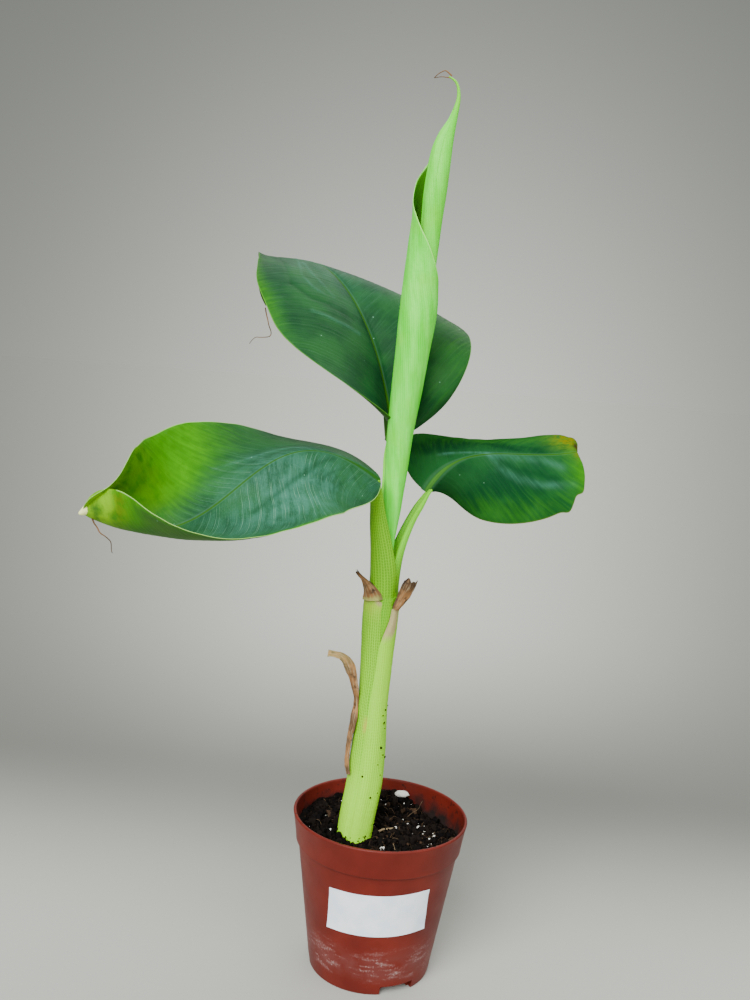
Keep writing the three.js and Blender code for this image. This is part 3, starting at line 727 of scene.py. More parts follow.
@dataclass(frozen=True)
class RolledFinish(Finish):
    """The pale outside of the rolled leaf and its deep green inside.

    It reads the marks along, turn and rim in millimetres and the shares inner
    and ripe.
    """

    name: str = "young_leaf_green"
    slot: Slot = Slot.YOUNG_LEAF
    pale: Colour = (0.05, 0.72, 0.0)
    mint: Colour = (0.16, 0.95, 0.07)
    inside: Colour = (0.035, 0.17, 0.0)
    yellow: Colour = (0.22, 0.74, 0.0)
    margin: Colour = (0.36, 0.98, 0.16)
    vein_slant: float = 0.16
    vein_spacing: float = 1.0
    gloss: float = 0.18

    def graph(self) -> Graph:
        """Builds the nodes."""
        g = Graph(self.name)
        turn, along = g.mark("turn"), g.mark("along")
        vein_place = g.add(turn, g.times(along, self.vein_slant))
        veins = g.waves(g.add(vein_place, g.times(g.noise(30, 1), 2.0)), self.vein_spacing)
        spots = g.noise(1, 3, g.place(g.times(vein_place, 0.22), g.times(along, 0.03), 0.0))
        g.ground(g.rise(spots, 0.3, 0.7), self.pale, self.mint)
        g.paint(g.rise(veins, 0.3, 1.0, 0.24), self.margin)
        drawn_out = g.place(g.times(vein_place, 0.7), g.times(along, 0.1), 0.0)
        strands = g.rise(g.noise(1, 4, drawn_out), 0.45, 0.7, 0.4)
        g.paint(strands, self.pale)
        g.paint(g.patches(12, 3, 0.45, 0.75, 0.3), self.yellow)
        g.paint(g.mark("ripe"), self.yellow)
        g.paint(g.mark("inner"), self.inside)
        g.paint(g.fall(g.mark("rim"), 0.25, 0.7, 0.9), self.margin)
        rough = g.add(0.4, g.times(g.noise(4, 3), 0.14))
        g.emboss(veins, 0.015)
        g.emboss(g.noise(3, 4), 0.1)
        g.finish(rough, self.gloss)
        return g


@dataclass(frozen=True)
class DryFinish(Finish):
    """Dead, papery sheath with long fibres. It reads the marks turn and along in
    millimetres and the shares under, fresh, cream and burnt."""

    name: str = "dry_sheath"
    slot: Slot = Slot.DEAD
    tan: Colour = (0.36, 0.17, 0.06)
    brown: Colour = (0.12, 0.065, 0.03)
    pale: Colour = (0.46, 0.37, 0.22)
    dark: Colour = (0.03, 0.018, 0.012)
    fresh: Colour = (0.4, 0.42, 0.12)
    cream: Colour = (0.9, 0.95, 0.4)
    gloss: float = 0.12

    def graph(self) -> Graph:
        """Builds the nodes."""
        g = Graph(self.name)
        turn, along = g.mark("turn"), g.mark("along")
        fibre_at = g.place(g.times(turn, 1.6), g.times(along, 0.12), 0.0)
        fibres = g.noise(1, 4, fibre_at)
        g.ground(g.patches(7, 4, 0.35, 0.62), self.brown, self.tan)
        g.paint(g.rise(fibres, 0.45, 0.75, 0.7), self.pale)
        g.paint(g.patches(3, 3, 0.56, 0.72, 0.8), self.dark)
        g.paint(g.times(g.mark("under"), 0.35), self.pale)
        living = g.add(g.mark("fresh"), g.times(g.add(fibres, -0.5), 0.7))
        g.paint(g.rise(living, 0.3, 0.9), self.fresh)
        g.paint(g.mark("cream"), self.cream)
        g.paint(g.mark("burnt"), self.dark)
        rough = g.add(0.66, g.times(fibres, 0.25))
        g.emboss(fibres, 0.25)
        g.emboss(g.noise(1.2, 4), 0.12)
        g.finish(rough, self.gloss)
        return g


@dataclass(frozen=True)
class PotFinish(Finish):
    """Terracotta-red plastic with chalky scuffs near the foot and peat stains
    inside. It reads the marks round and height in millimetres and inside."""

    name: str = "terracotta_plastic"
    slot: Slot = Slot.POT
    red: Colour = (0.105, 0.009, 0.005)
    bright: Colour = (0.15, 0.015, 0.008)
    worn: Colour = (0.135, 0.036, 0.032)
    chalk: Colour = (0.3, 0.19, 0.18)
    stain: Colour = (0.01, 0.005, 0.004)
    scuff_foot: tuple[float, float] = (5, 12)
    scuff_head: tuple[float, float] = (16, 29)
    soil_line: tuple[float, float] = (61, 70)
    gloss: float = 0.22

    def graph(self) -> Graph:
        """Builds the nodes."""
        g = Graph(self.name)
        round_it, height, inside = g.mark("round"), g.mark("height"), g.mark("inside")
        g.ground(g.patches(26, 4, 0.3, 0.7), self.red, self.bright)
        sag = g.add(height, g.times(g.noise(1, 1, g.place(g.times(round_it, 0.03), 0.0, 0.0)), -9.0))
        smear = g.place(g.times(round_it, 0.07), g.times(sag, 0.4), g.times(inside, 9.0))
        soft = g.noise(1, 6, smear)
        band = g.times(g.rise(height, *self.scuff_foot), g.fall(height, *self.scuff_head))
        haze = g.times(g.patches(13, 4, 0.36, 0.6), g.times(band, 0.6))
        g.paint(haze, self.worn)
        patch = g.times(band, g.patches(15, 4, 0.42, 0.58))
        scratch = g.times(g.rise(soft, 0.5, 0.66), patch)
        g.paint(g.times(scratch, 0.45), self.chalk)
        crumbly = g.times(g.patches(0.8, 5, 0.52, 0.62), g.times(patch, g.rise(soft, 0.45, 0.58)))
        g.paint(g.times(crumbly, 0.8), self.chalk)
        dirt_line = g.add(height, g.times(g.noise(7, 4), -16.0))
        dirt = g.times(g.fall(dirt_line, *self.soil_line), inside)
        splash = g.times(g.patches(3, 4, 0.6, 0.7), g.times(inside, 0.85))
        g.paint(g.math("MAXIMUM", dirt, splash), self.stain)
        dust = g.times(g.patches(5, 4, 0.6, 0.75), g.fall(height, 0, 9))
        g.paint(g.times(dust, 0.25), self.chalk)
        rough = g.add(0.36, g.times(g.noise(9, 4), 0.22))
        rough = g.add(rough, g.times(g.math("MAXIMUM", scratch, dirt), 0.3))
        g.emboss(g.noise(0.6, 3), 0.03)
        g.emboss(soft, 0.06)
        g.finish(rough, self.gloss)
        return g


@dataclass(frozen=True)
class PaperFinish(Finish):
    """Blank white paper, a little uneven. It reads no marks."""

    name: str = "label_paper_white"
    slot: Slot = Slot.LABEL
    white: Colour = (0.88, 0.94, 1.0)
    grey: Colour = (0.78, 0.86, 0.97)
    gloss: float = 0.2

    def graph(self) -> Graph:
        """Builds the nodes."""
        g = Graph(self.name)
        g.ground(g.patches(9, 3, 0.35, 0.7), self.white, self.grey)
        rough = g.add(0.5, g.times(g.noise(2, 3), 0.2))
        g.emboss(g.noise(0.35, 3), 0.02)
        g.emboss(g.noise(7, 2), 0.12)
        g.finish(rough, self.gloss)
        return g


@dataclass(frozen=True)
class GrainFinish(Finish):
    """Loose grains, each with its own shade between two colours."""

    name: str = "peat"
    slot: Slot = Slot.SOIL
    dark: Colour = (0.002, 0.0015, 0.0015)
    light: Colour = (0.009, 0.006, 0.0045)
    rare: Colour = (0.05, 0.028, 0.016)
    grain: float = 1.4
    uneven: float = 0.3
    gloss: float = 0.06

    def graph(self) -> Graph:
        """Builds the nodes."""
        g = Graph(self.name)
        shade = g.mark("shade")
        g.ground(g.rise(shade, 0.2, 0.9), self.dark, self.light)
        g.paint(g.rise(shade, 0.95, 0.98), self.rare)
        g.paint(g.rise(g.noise(self.grain, 4), 0.5, 0.75, 0.5), self.light)
        rough = g.add(0.95 - self.uneven, g.times(g.noise(2 * self.grain, 3), self.uneven))
        g.emboss(g.noise(self.grain, 5), 0.35)
        g.finish(rough, self.gloss)
        return g


PERLITE = GrainFinish(
    name="perlite_white",
    slot=Slot.PERLITE,
    dark=(0.62, 0.6, 0.55),
    light=(0.85, 0.84, 0.8),
    rare=(0.45, 0.38, 0.28),
    grain=0.7,
    uneven=0.15,
)
FIBRE = GrainFinish(
    name="coir_brown",
    slot=Slot.SOIL,
    dark=(0.02, 0.012, 0.007),
    light=(0.08, 0.048, 0.026),
    rare=(0.22, 0.16, 0.09),
    grain=2.0,
    uneven=0.2,
)
ROOT = GrainFinish(
    name="root_tan",
    slot=Slot.SOIL,
    dark=(0.09, 0.06, 0.035),
    light=(0.26, 0.19, 0.11),
    rare=(0.34, 0.26, 0.15),
    grain=1.0,
    uneven=0.3,
)
STEM = StalkFinish(
    name="stem_pale",
    slot=Slot.STEM,
    green=(0.15, 0.45, 0.0),
    shade=(0.1, 0.36, 0.0),
    pale=(0.34, 0.8, 0.02),
    fibre=(0.38, 0.85, 0.02),
    fibre_strength=0.65,
)
STEM_CORE = StalkFinish(name="stem_core_green", slot=Slot.STEM)


def add_piece(
    name: str, surface: Surface, finish: Finish, nodes: Sequence[str] = (), sharp: float = 55
) -> bpy.types.Object:
    """Makes an object of a surface, dresses it and tells the frame about it.

    Args:
        name: The piece's name.
        surface: Its mesh.
        finish: What it is made of.
        nodes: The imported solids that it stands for.
        sharp: Faces that meet at more than this angle keep a hard edge.

    Returns:
        The object.
    """
    mesh = bpy.data.meshes.new(name)
    faces = [face for block in surface.faces for face in block.tolist()]
    mesh.from_pydata((surface.points * MM).tolist(), [], faces)
    turned = bmesh.new()
    turned.from_mesh(mesh)
    bmesh.ops.recalc_face_normals(turned, faces=turned.faces)
    turned.to_mesh(mesh)
    turned.free()
    for mark, values in surface.marks.items():
        mesh.attributes.new(mark, "FLOAT", "POINT").data.foreach_set("value", values)
    mesh.shade_smooth()
    mesh.set_sharp_from_angle(angle=math.radians(sharp))
    mesh.materials.append(finish.material())
    piece = bpy.data.objects.new(name, mesh)
    bpy.context.scene.collection.objects.link(piece)
    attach(piece, BODY)
    if nodes:
        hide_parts(*nodes)
    log.info("%s: %d points, for %s", name, len(mesh.vertices), ", ".join(nodes) or "no solid")
    return piece


# The pot and what is in it --------------------------------------------------


@dataclass
class NurseryPot:
    """A round, tapered plastic pot with a band under its rim."""

    height: float = 82
    rim_radius: float = 45
    band_height: float = 15.5
    band_foot_radius: float = 42.7
    body_top_radius: float = 41.5
    foot_radius: float = 31.4
    wall: float = 1.3
    base: float = 1.5
    lip_radius: float = 0.8
    heel_radius: float = 0.6
    ledge: float = 0.5
    inner_step: tuple[float, float] = (-0.6, 1.4)
    disc_radius: float = 20
    channel_height: float = 4.6
    channel_slope: float = 1
    foot_ring: float = 2.9
    holes: int = 6
    hole_radius: float = 2.6
    notches: int = 3
    notch_size: tuple[float, float] = (18, 8)
    notch_angle: float = 29
    round_steps: int = 200
    sharp: float = 40

    @property
    def body_height(self) -> float:
        """Where the band starts."""
        return self.height - self.band_height

    def outer_radius(self, height: Array) -> Array:
        """The body's outer radius at a height under the band."""
        share = np.asarray(height) / self.body_height
        return self.foot_radius + share * (self.body_top_radius - self.foot_radius)

    def inner_radius(self, height: Array) -> Array:
        """The wall's inner radius at a height."""
        up = (np.asarray(height) - self.body_height) / self.band_height
        band = self.band_foot_radius + up * (self.rim_radius - self.band_foot_radius)
        low, high = self.inner_step
        step = np.clip((np.asarray(height) - self.body_height - low) / (high - low), 0, 1)
        return self.outer_radius(height) * (1 - step) + band * step - self.wall

    def arc(self, x: float, z: float, radius: float, start: float, end: float) -> list:
        """Profile points round a middle, between two angles in degrees."""
        turns = np.radians(np.linspace(start, end, 7))
        return [(x + radius * math.cos(t), z + radius * math.sin(t)) for t in turns]

    def profile(self) -> list:
        """Radius and height round the wall's section, from the axis out and back."""
        foot, ring, slope = self.foot_radius, self.foot_ring, self.channel_slope
        lip, heel = self.lip_radius, self.heel_radius
        floor = self.channel_height + self.base
        top = self.body_height
        under = [
            (self.disc_radius, 0),
            (self.disc_radius + slope, self.channel_height),
            (foot - ring - slope, self.channel_height),
            (foot - ring, 0),
        ]
        side = [(self.outer_radius(z), z) for z in np.linspace(1.2, top - 1, 12)]
        ledge = [
            (self.body_top_radius, top),
            (self.band_foot_radius - self.ledge, top + 0.1),
            *self.arc(self.band_foot_radius - self.ledge, top + 0.6, self.ledge, -70, 0),
        ]
        band_top = self.rim_radius - 0.35
        rim = [
            (self.band_foot_radius + 0.4, top + 4),
            (band_top - 0.5, self.height - 5),
            (band_top, self.height - 2.2),
            *self.arc(self.rim_radius - lip, self.height - lip, lip, -30, 190),
        ]
        inside = [(self.inner_radius(z), z) for z in np.linspace(self.height - 3, top + 1.5, 5)]
        inside += [(self.inner_radius(z), z) for z in np.linspace(top - 0.6, floor, 12)]
        floor_plan = [(self.disc_radius + slope, floor), (self.disc_radius - slope, self.base)]
        heel_arc = self.arc(foot - heel, heel, heel, -90, -5)
        return [*under, *heel_arc, *side, *ledge, *rim, *inside, *floor_plan]

    def shell(self) -> Surface:
        """The pot turned round its axis, before holes are cut."""
        profile = np.array(self.profile())
        turn = np.arange(self.round_steps) * FULL_TURN / self.round_steps
        radius, z = profile[:, 0], profile[:, 1]
        return limb(around(radius[:, None], turn, z[:, None]))

    def hole(self, turn: float) -> bmesh.types.BMesh:
        """A plain body for one drain hole, at a turn in radians."""
        middle = (self.disc_radius + self.foot_radius - self.foot_ring) / 2
        right, front = middle * math.sin(turn), -middle * math.cos(turn)
        body = bmesh.new()
        bmesh.ops.create_cone(
            body,
            cap_ends=True,
            segments=32,
            radius1=self.hole_radius * MM,
            radius2=self.hole_radius * MM,
            depth=0.01,
            matrix=Matrix.Translation((right * MM, front * MM, 0.005)),
        )
        return body

    def notch(self, turn: float) -> bmesh.types.BMesh:
        """A plain body for one notch in the foot, at a turn in radians."""
        width, depth = self.notch_size
        place = Matrix.Translation((0, -self.foot_radius * MM, 0))
        scale = Matrix.Diagonal((width * MM, depth * MM, 2 * self.channel_height * MM, 1))
        body = bmesh.new()
        matrix = Matrix.Rotation(turn, 4, "Z") @ place @ scale
        bmesh.ops.create_cube(body, size=1, matrix=matrix)
        return body

    def cutters(self) -> list[bpy.types.Object]:
        """Plain bodies for the drain holes and the notches in the foot."""
        hole_turns = [i * FULL_TURN / self.holes for i in range(self.holes)]
        first = math.radians(self.notch_angle)
        notch_turns = [first + i * FULL_TURN / self.notches for i in range(self.notches)]
        bodies = [self.hole(turn) for turn in hole_turns]
        bodies += [self.notch(turn) for turn in notch_turns]
        objects = []
        for i, body in enumerate(bodies):
            mesh = bpy.data.meshes.new(f"cutter_{i}")
            body.to_mesh(mesh)
            body.free()
            objects.append(bpy.data.objects.new(f"cutter_{i}", mesh))
        return objects

    def marks(self, mesh: bpy.types.Mesh) -> None:
        """Writes the marks that the finish reads from where each point is."""
        points = np.empty(len(mesh.vertices) * 3)
        mesh.vertices.foreach_get("co", points)
        x, y, z = (points.reshape(-1, 3) / MM).T
        radius = np.hypot(x, y)
        floor = self.channel_height + 0.5 * self.base
        inside = (radius < self.inner_radius(z) + 0.5 * self.wall) & (z > floor)
        values = {
            "round": np.arctan2(x, -y) * self.rim_radius,
            "height": z,
            "inside": inside.astype(float),
        }
        for name, numbers in values.items():
            mesh.attributes.new(name, "FLOAT", "POINT").data.foreach_set("value", numbers)

    def build(self) -> None:
        """Makes the pot with its holes and notches."""
        piece = add_piece("nursery_pot", self.shell(), PotFinish(), ["pot"], self.sharp)
        scene = bpy.context.scene
        tools = self.cutters()
        for tool in tools:
            scene.collection.objects.link(tool)
            cut = piece.modifiers.new(tool.name, "BOOLEAN")
            cut.operation = "DIFFERENCE"
            cut.solver = "EXACT"
            cut.object = tool
        seen = piece.evaluated_get(bpy.context.evaluated_depsgraph_get())
        carved = bpy.data.meshes.new_from_object(seen)
        piece.modifiers.clear()
        piece.data = carved
        for tool in tools:
            bpy.data.objects.remove(tool)
        self.marks(carved)
        carved.shade_smooth()
        carved.set_sharp_from_angle(angle=math.radians(self.sharp))


@dataclass
class PotLabel:
    """A blank paper label on the front of the pot."""

    pot: NurseryPot
    width: float = 52
    height: float = 23
    middle: float = 45.5
    angle: float = 4.7
    tilt: float = 2
    thickness: float = 0.18
    lift: float = 0.18
    waviness: float = 0.05
    corner_lift: float = 0.35
    grid: tuple[int, int] = (40, 90)

    def skin(self, lift: float, across: Array, up: Array) -> Array:
        """Points over the pot's side, lifted by the paper's own waviness."""
        z = self.middle + up + across * math.tan(math.radians(self.tilt))
        far_across = smooth(np.abs(across), 0.5 * self.width - 4, 0.5 * self.width + 1)
        corner = far_across * smooth(np.abs(up), 7, 12)
        flat = points_at(across, 0, up)
        wave = self.waviness * Ripple(11, 31).at(flat) + self.corner_lift * corner
        radius = self.pot.outer_radius(z) + self.lift + lift + wave
        turn = np.radians(self.angle) + across / self.pot.outer_radius(z)
        return around(radius, turn, z)

    def build(self) -> None:
        """Makes the label."""
        rows, columns = self.grid
        across = np.linspace(-0.5, 0.5, columns)[None, :] * self.width
        up = np.linspace(-0.5, 0.5, rows)[:, None] * self.height
        across, up = np.broadcast_arrays(across, up)
        body = plate(self.skin(self.thickness, across, up), self.skin(0, across, up))
        add_piece("paper_label", body, PaperFinish(), ["pot_label"])


@dataclass(frozen=True)
class Litter:
    """A kind of crumb: how many lie within reach of the axis, and how large
    they are, as the smallest and the largest half size."""

    seed: int
    count: int
    low: float
    high: float
    detail: int
    reach: float


@dataclass
class PottingSoil:
    """Damp peat with perlite, coir fibres and a few roots. Each layer of its
    relief has a height, a wavelength and a seed; the collar round the stem has a
    height, a gap and a spread."""

    pot: NurseryPot
    foot: tuple[float, float, float] = (-12.5, -8, 70)
    level: float = 71
    slope: tuple[float, float] = (-0.05, 0.04)
    bumps: tuple = ((27, 30, -4.5, 10), (8, 38, 4.6, 9))
    clearance: float = 0.3
    edge_gap: float = 0.05
    side_gap: float = 0.4
    side_heights: tuple[float, float] = (60, 30)
    layers: tuple = ((0.75, 11, 1), (0.5, 4.2, 2), (0.3, 1.7, 3))
    collar: tuple[float, float, float] = (2.2, 1.2, 2.6)
    stem_radius: float = 9.3
    chips: tuple = (
        (2.5, -19.5, 1.5),
        (8.5, 5, 0.9),
        (6.8, 1.5, 0.8),
        (-29, 8, 0.9),
        (-24, 2, 0.7),
        (24, 12, 0.9),
        (29, 2, 0.8),
        (27, -6, 0.8),
        (20, -12, 0.6),
    )
    lumps: tuple = (
        (11, 36, (3.9, 2.8, 1.7)),
        (6, -31, (2, 1.5, 1.2)),
        (-23, -24, (1.6, 1.4, 1.1)),
        (21, 8, (1.5, 1.3, 1.1)),
    )
    peat_litter: tuple = (
        Litter(seed=11, count=4200, low=0.3, high=1.1, detail=1, reach=40.3),
        Litter(seed=12, count=620, low=0.9, high=2.6, detail=2, reach=38.5),
    )
    perlite_litter: Litter = Litter(seed=15, count=170, low=0.22, high=0.95, detail=2, reach=39)
    grid: tuple[int, int] = (110, 300)
    fibre_count: int = 190
    fibre_reach: float = 37
    fibre_limit: float = 38.5
    fibre_steps: int = 9
    roots: tuple = (
        (((-3, -3, 0), (1, 1, 0.9), (5, 3, 0.6), (8, 4, 0.9), (9, 8, 0)), (0.6, 0.4), 0.9),
        (((0, -6, 0), (5, -8, 0.8), (9, -6, 0.5), (12, -9, 0)), (0.3, 0.2), 0.2),
        (((14, 20, 0), (17, 22, 3), (20, 23, 6), (22, 24, 11)), (0.18, 0.1), 0.1),
        (((-22, -12, 0), (-27, -16, 0.9), (-31, -15, 0)), (0.3, 0.2), 0.4),
    )

    def rough_height(self, x: Array, y: Array) -> Array:
        """Soil height without its crumbly relief."""
        open_soil = self.level + self.slope[0] * x + self.slope[1] * y
        for bump_x, bump_y, rise, spread in self.bumps:
            away = np.hypot(x - bump_x, y - bump_y) / spread
            open_soil = open_soil + rise * np.exp(-away * away / 2)
        away = np.hypot(x - self.foot[0], y - self.foot[1])
        share = smooth(away, 12, 22)
        seat = self.foot[2] - self.clearance
        return seat * (1 - share) + open_soil * share

    def height_at(self, x: Array, y: Array) -> Array:
        """Soil height with its crumbly relief and a collar round the stem."""
        flat = points_at(x, y)
        relief = sum(high * Ripple(wide, seed).at(flat) for high, wide, seed in self.layers)
        away = np.hypot(x - self.foot[0], y - self.foot[1])
        outside = smooth(away, self.stem_radius - 1.5, self.stem_radius + 2)
        high, gap, spread = self.collar
        collar = high * bell(away - self.stem_radius - gap, spread)
        return self.rough_height(x, y) + outside * relief + collar

    def surface(self) -> Surface:
        """The soil's body: a fine top, and plain sides inside the pot."""
        rows, columns = self.grid
        turn = np.arange(columns) * FULL_TURN / columns
        shares = np.linspace(0.004, 1, rows)
        edge_height = self.rough_height(40 * np.sin(turn), -40 * np.cos(turn))
        edge = self.pot.inner_radius(edge_height) - self.edge_gap
        radius = shares[:, None] * edge
        x, y = radius * np.sin(turn), -radius * np.cos(turn)
        rings = [points_at(x, y, self.height_at(x, y))]
        for z in (*self.side_heights, self.pot.channel_height + self.pot.base + self.clearance):
            rings.append(around(self.pot.inner_radius(z) - self.side_gap, turn, z)[None])
        grid = np.concatenate(rings)
        flat = points_at(grid[..., 0], grid[..., 1])
        shade = np.clip(0.35 + 0.3 * Ripple(2.4, 5).at(flat), 0, 0.9)
        return limb(grid, {"shade": shade})

    def places(self, rng: np.random.Generator, count: int, reach: float) -> tuple[Array, Array]:
        """Random places on the soil, clear of the stem."""
        radius = reach * np.sqrt(rng.uniform(0, 1, 2 * count))
        turn = rng.uniform(0, FULL_TURN, 2 * count)
        x, y = radius * np.sin(turn), -radius * np.cos(turn)
        free = np.hypot(x - self.foot[0], y - self.foot[1]) > self.stem_radius
        return x[free][:count], y[free][:count]

    def crumbs(self, kind: Litter) -> Surface:
        """Crumbs of one kind, half sunk in the soil."""
        rng = np.random.default_rng(kind.seed)
        x, y = self.places(rng, kind.count, kind.reach)
        size = kind.low + (kind.high - kind.low) * rng.uniform(0, 1, len(x)) ** 2.2
        z = self.height_at(x, y) + 0.35 * size
        shape = size[:, None] * rng.uniform(0.55, 1.15, (len(x), 3))
        return scattered(rng, points_at(x, y, z), shape, 0.3, kind.detail)

    def loose_chips(self) -> Surface:
        """Perlite chips that lie where the peat is bare."""
        x, y, size = np.array(self.chips).T
        z = self.rough_height(x, y) + 0.6 * size
        rng = np.random.default_rng(36)
        sizes = size[:, None] * rng.uniform(0.7, 1.1, (len(size), 3))
        return scattered(rng, points_at(x, y, z), sizes, 0.25, 2)

    def lump(self, number: int, x: float, y: float, size: tuple[float, ...]) -> Surface:
        """One large lump of perlite, level on the soil."""
        rng = np.random.default_rng(40 + number)
        z = float(self.rough_height(np.array(x), np.array(y))) + size[2] + 0.1
        lump = scattered(rng, np.array([[0.0, 0.0, 0.0]]), np.array([size]), 0.05, 3)
        spread = lump.points @ np.linalg.svd(lump.points, full_matrices=False)[2].T
        lump.points = spread * (1 + 0.07 * Ripple(1.6, number).at(spread))[:, None] + (x, y, z)
        return lump

    def fibre(self, rng: np.random.Generator, x: float, y: float) -> Surface:
        """One thin, bent fibre on the soil."""
        steps = self.fibre_steps
        length = rng.uniform(4, 13)
        heading = rng.uniform(0, FULL_TURN) + np.cumsum(rng.normal(0, 0.35, steps))
        path_x = x + np.cumsum(np.cos(heading)) * length / steps
        path_y = y + np.cumsum(np.sin(heading)) * length / steps
        lift = 0.3 + rng.uniform(0.2, 1.8) * np.sin(np.linspace(0, math.pi, steps))
        inside = np.minimum(1, self.fibre_limit / np.hypot(path_x, path_y))
        path_x, path_y = path_x * inside, path_y * inside
        path = points_at(path_x, path_y, self.height_at(path_x, path_y) + lift)
        radius = rng.uniform(0.08, 0.22) * np.linspace(1, 0.5, steps)
        return tube(path, radius, 4, {"shade": np.full(steps, rng.uniform(0, 1))})

    def root(self, stations: Sequence, radii: Sequence[float], shade: float) -> Surface:
        """One bare root through stations of x, y and lift over the soil."""
        rows = through(stations, np.linspace(0, len(stations) - 1, 40))
        x, y, lift = rows.T
        path = points_at(x, y, self.rough_height(x, y) + lift)
        path = path + 0.15 * Ripple(3, 8).at(path)[:, None]
        radius = np.linspace(radii[0], radii[1], len(path))
        return tube(path, radius, 10, {"shade": np.full(len(path), shade)})

    def build(self) -> None:
        """Makes the soil and all that lies on it."""
        add_piece("peat_surface", self.surface(), GrainFinish(), ["soil"])
        peat = merged([self.crumbs(kind) for kind in self.peat_litter])
        add_piece("peat_crumbs", peat, GrainFinish(), sharp=30)
        add_piece("perlite_bits", self.crumbs(self.perlite_litter), PERLITE)
        add_piece("perlite_chips", self.loose_chips(), PERLITE)
        for i, (x, y, size) in enumerate(self.lumps, 1):
            lump = self.lump(i, x, y, size)
            add_piece(f"perlite_lump_{i}", lump, PERLITE, [f"perlite_{i}"])
        rng = np.random.default_rng(21)
        starts = zip(*self.places(rng, self.fibre_count, self.fibre_reach))
        add_piece("coir_fibres", merged([self.fibre(rng, x, y) for x, y in starts]), FIBRE)
        add_piece("bare_roots", merged([self.root(*root) for root in self.roots]), ROOT)


# Stem, sheaths and stalks ---------------------------------------------------


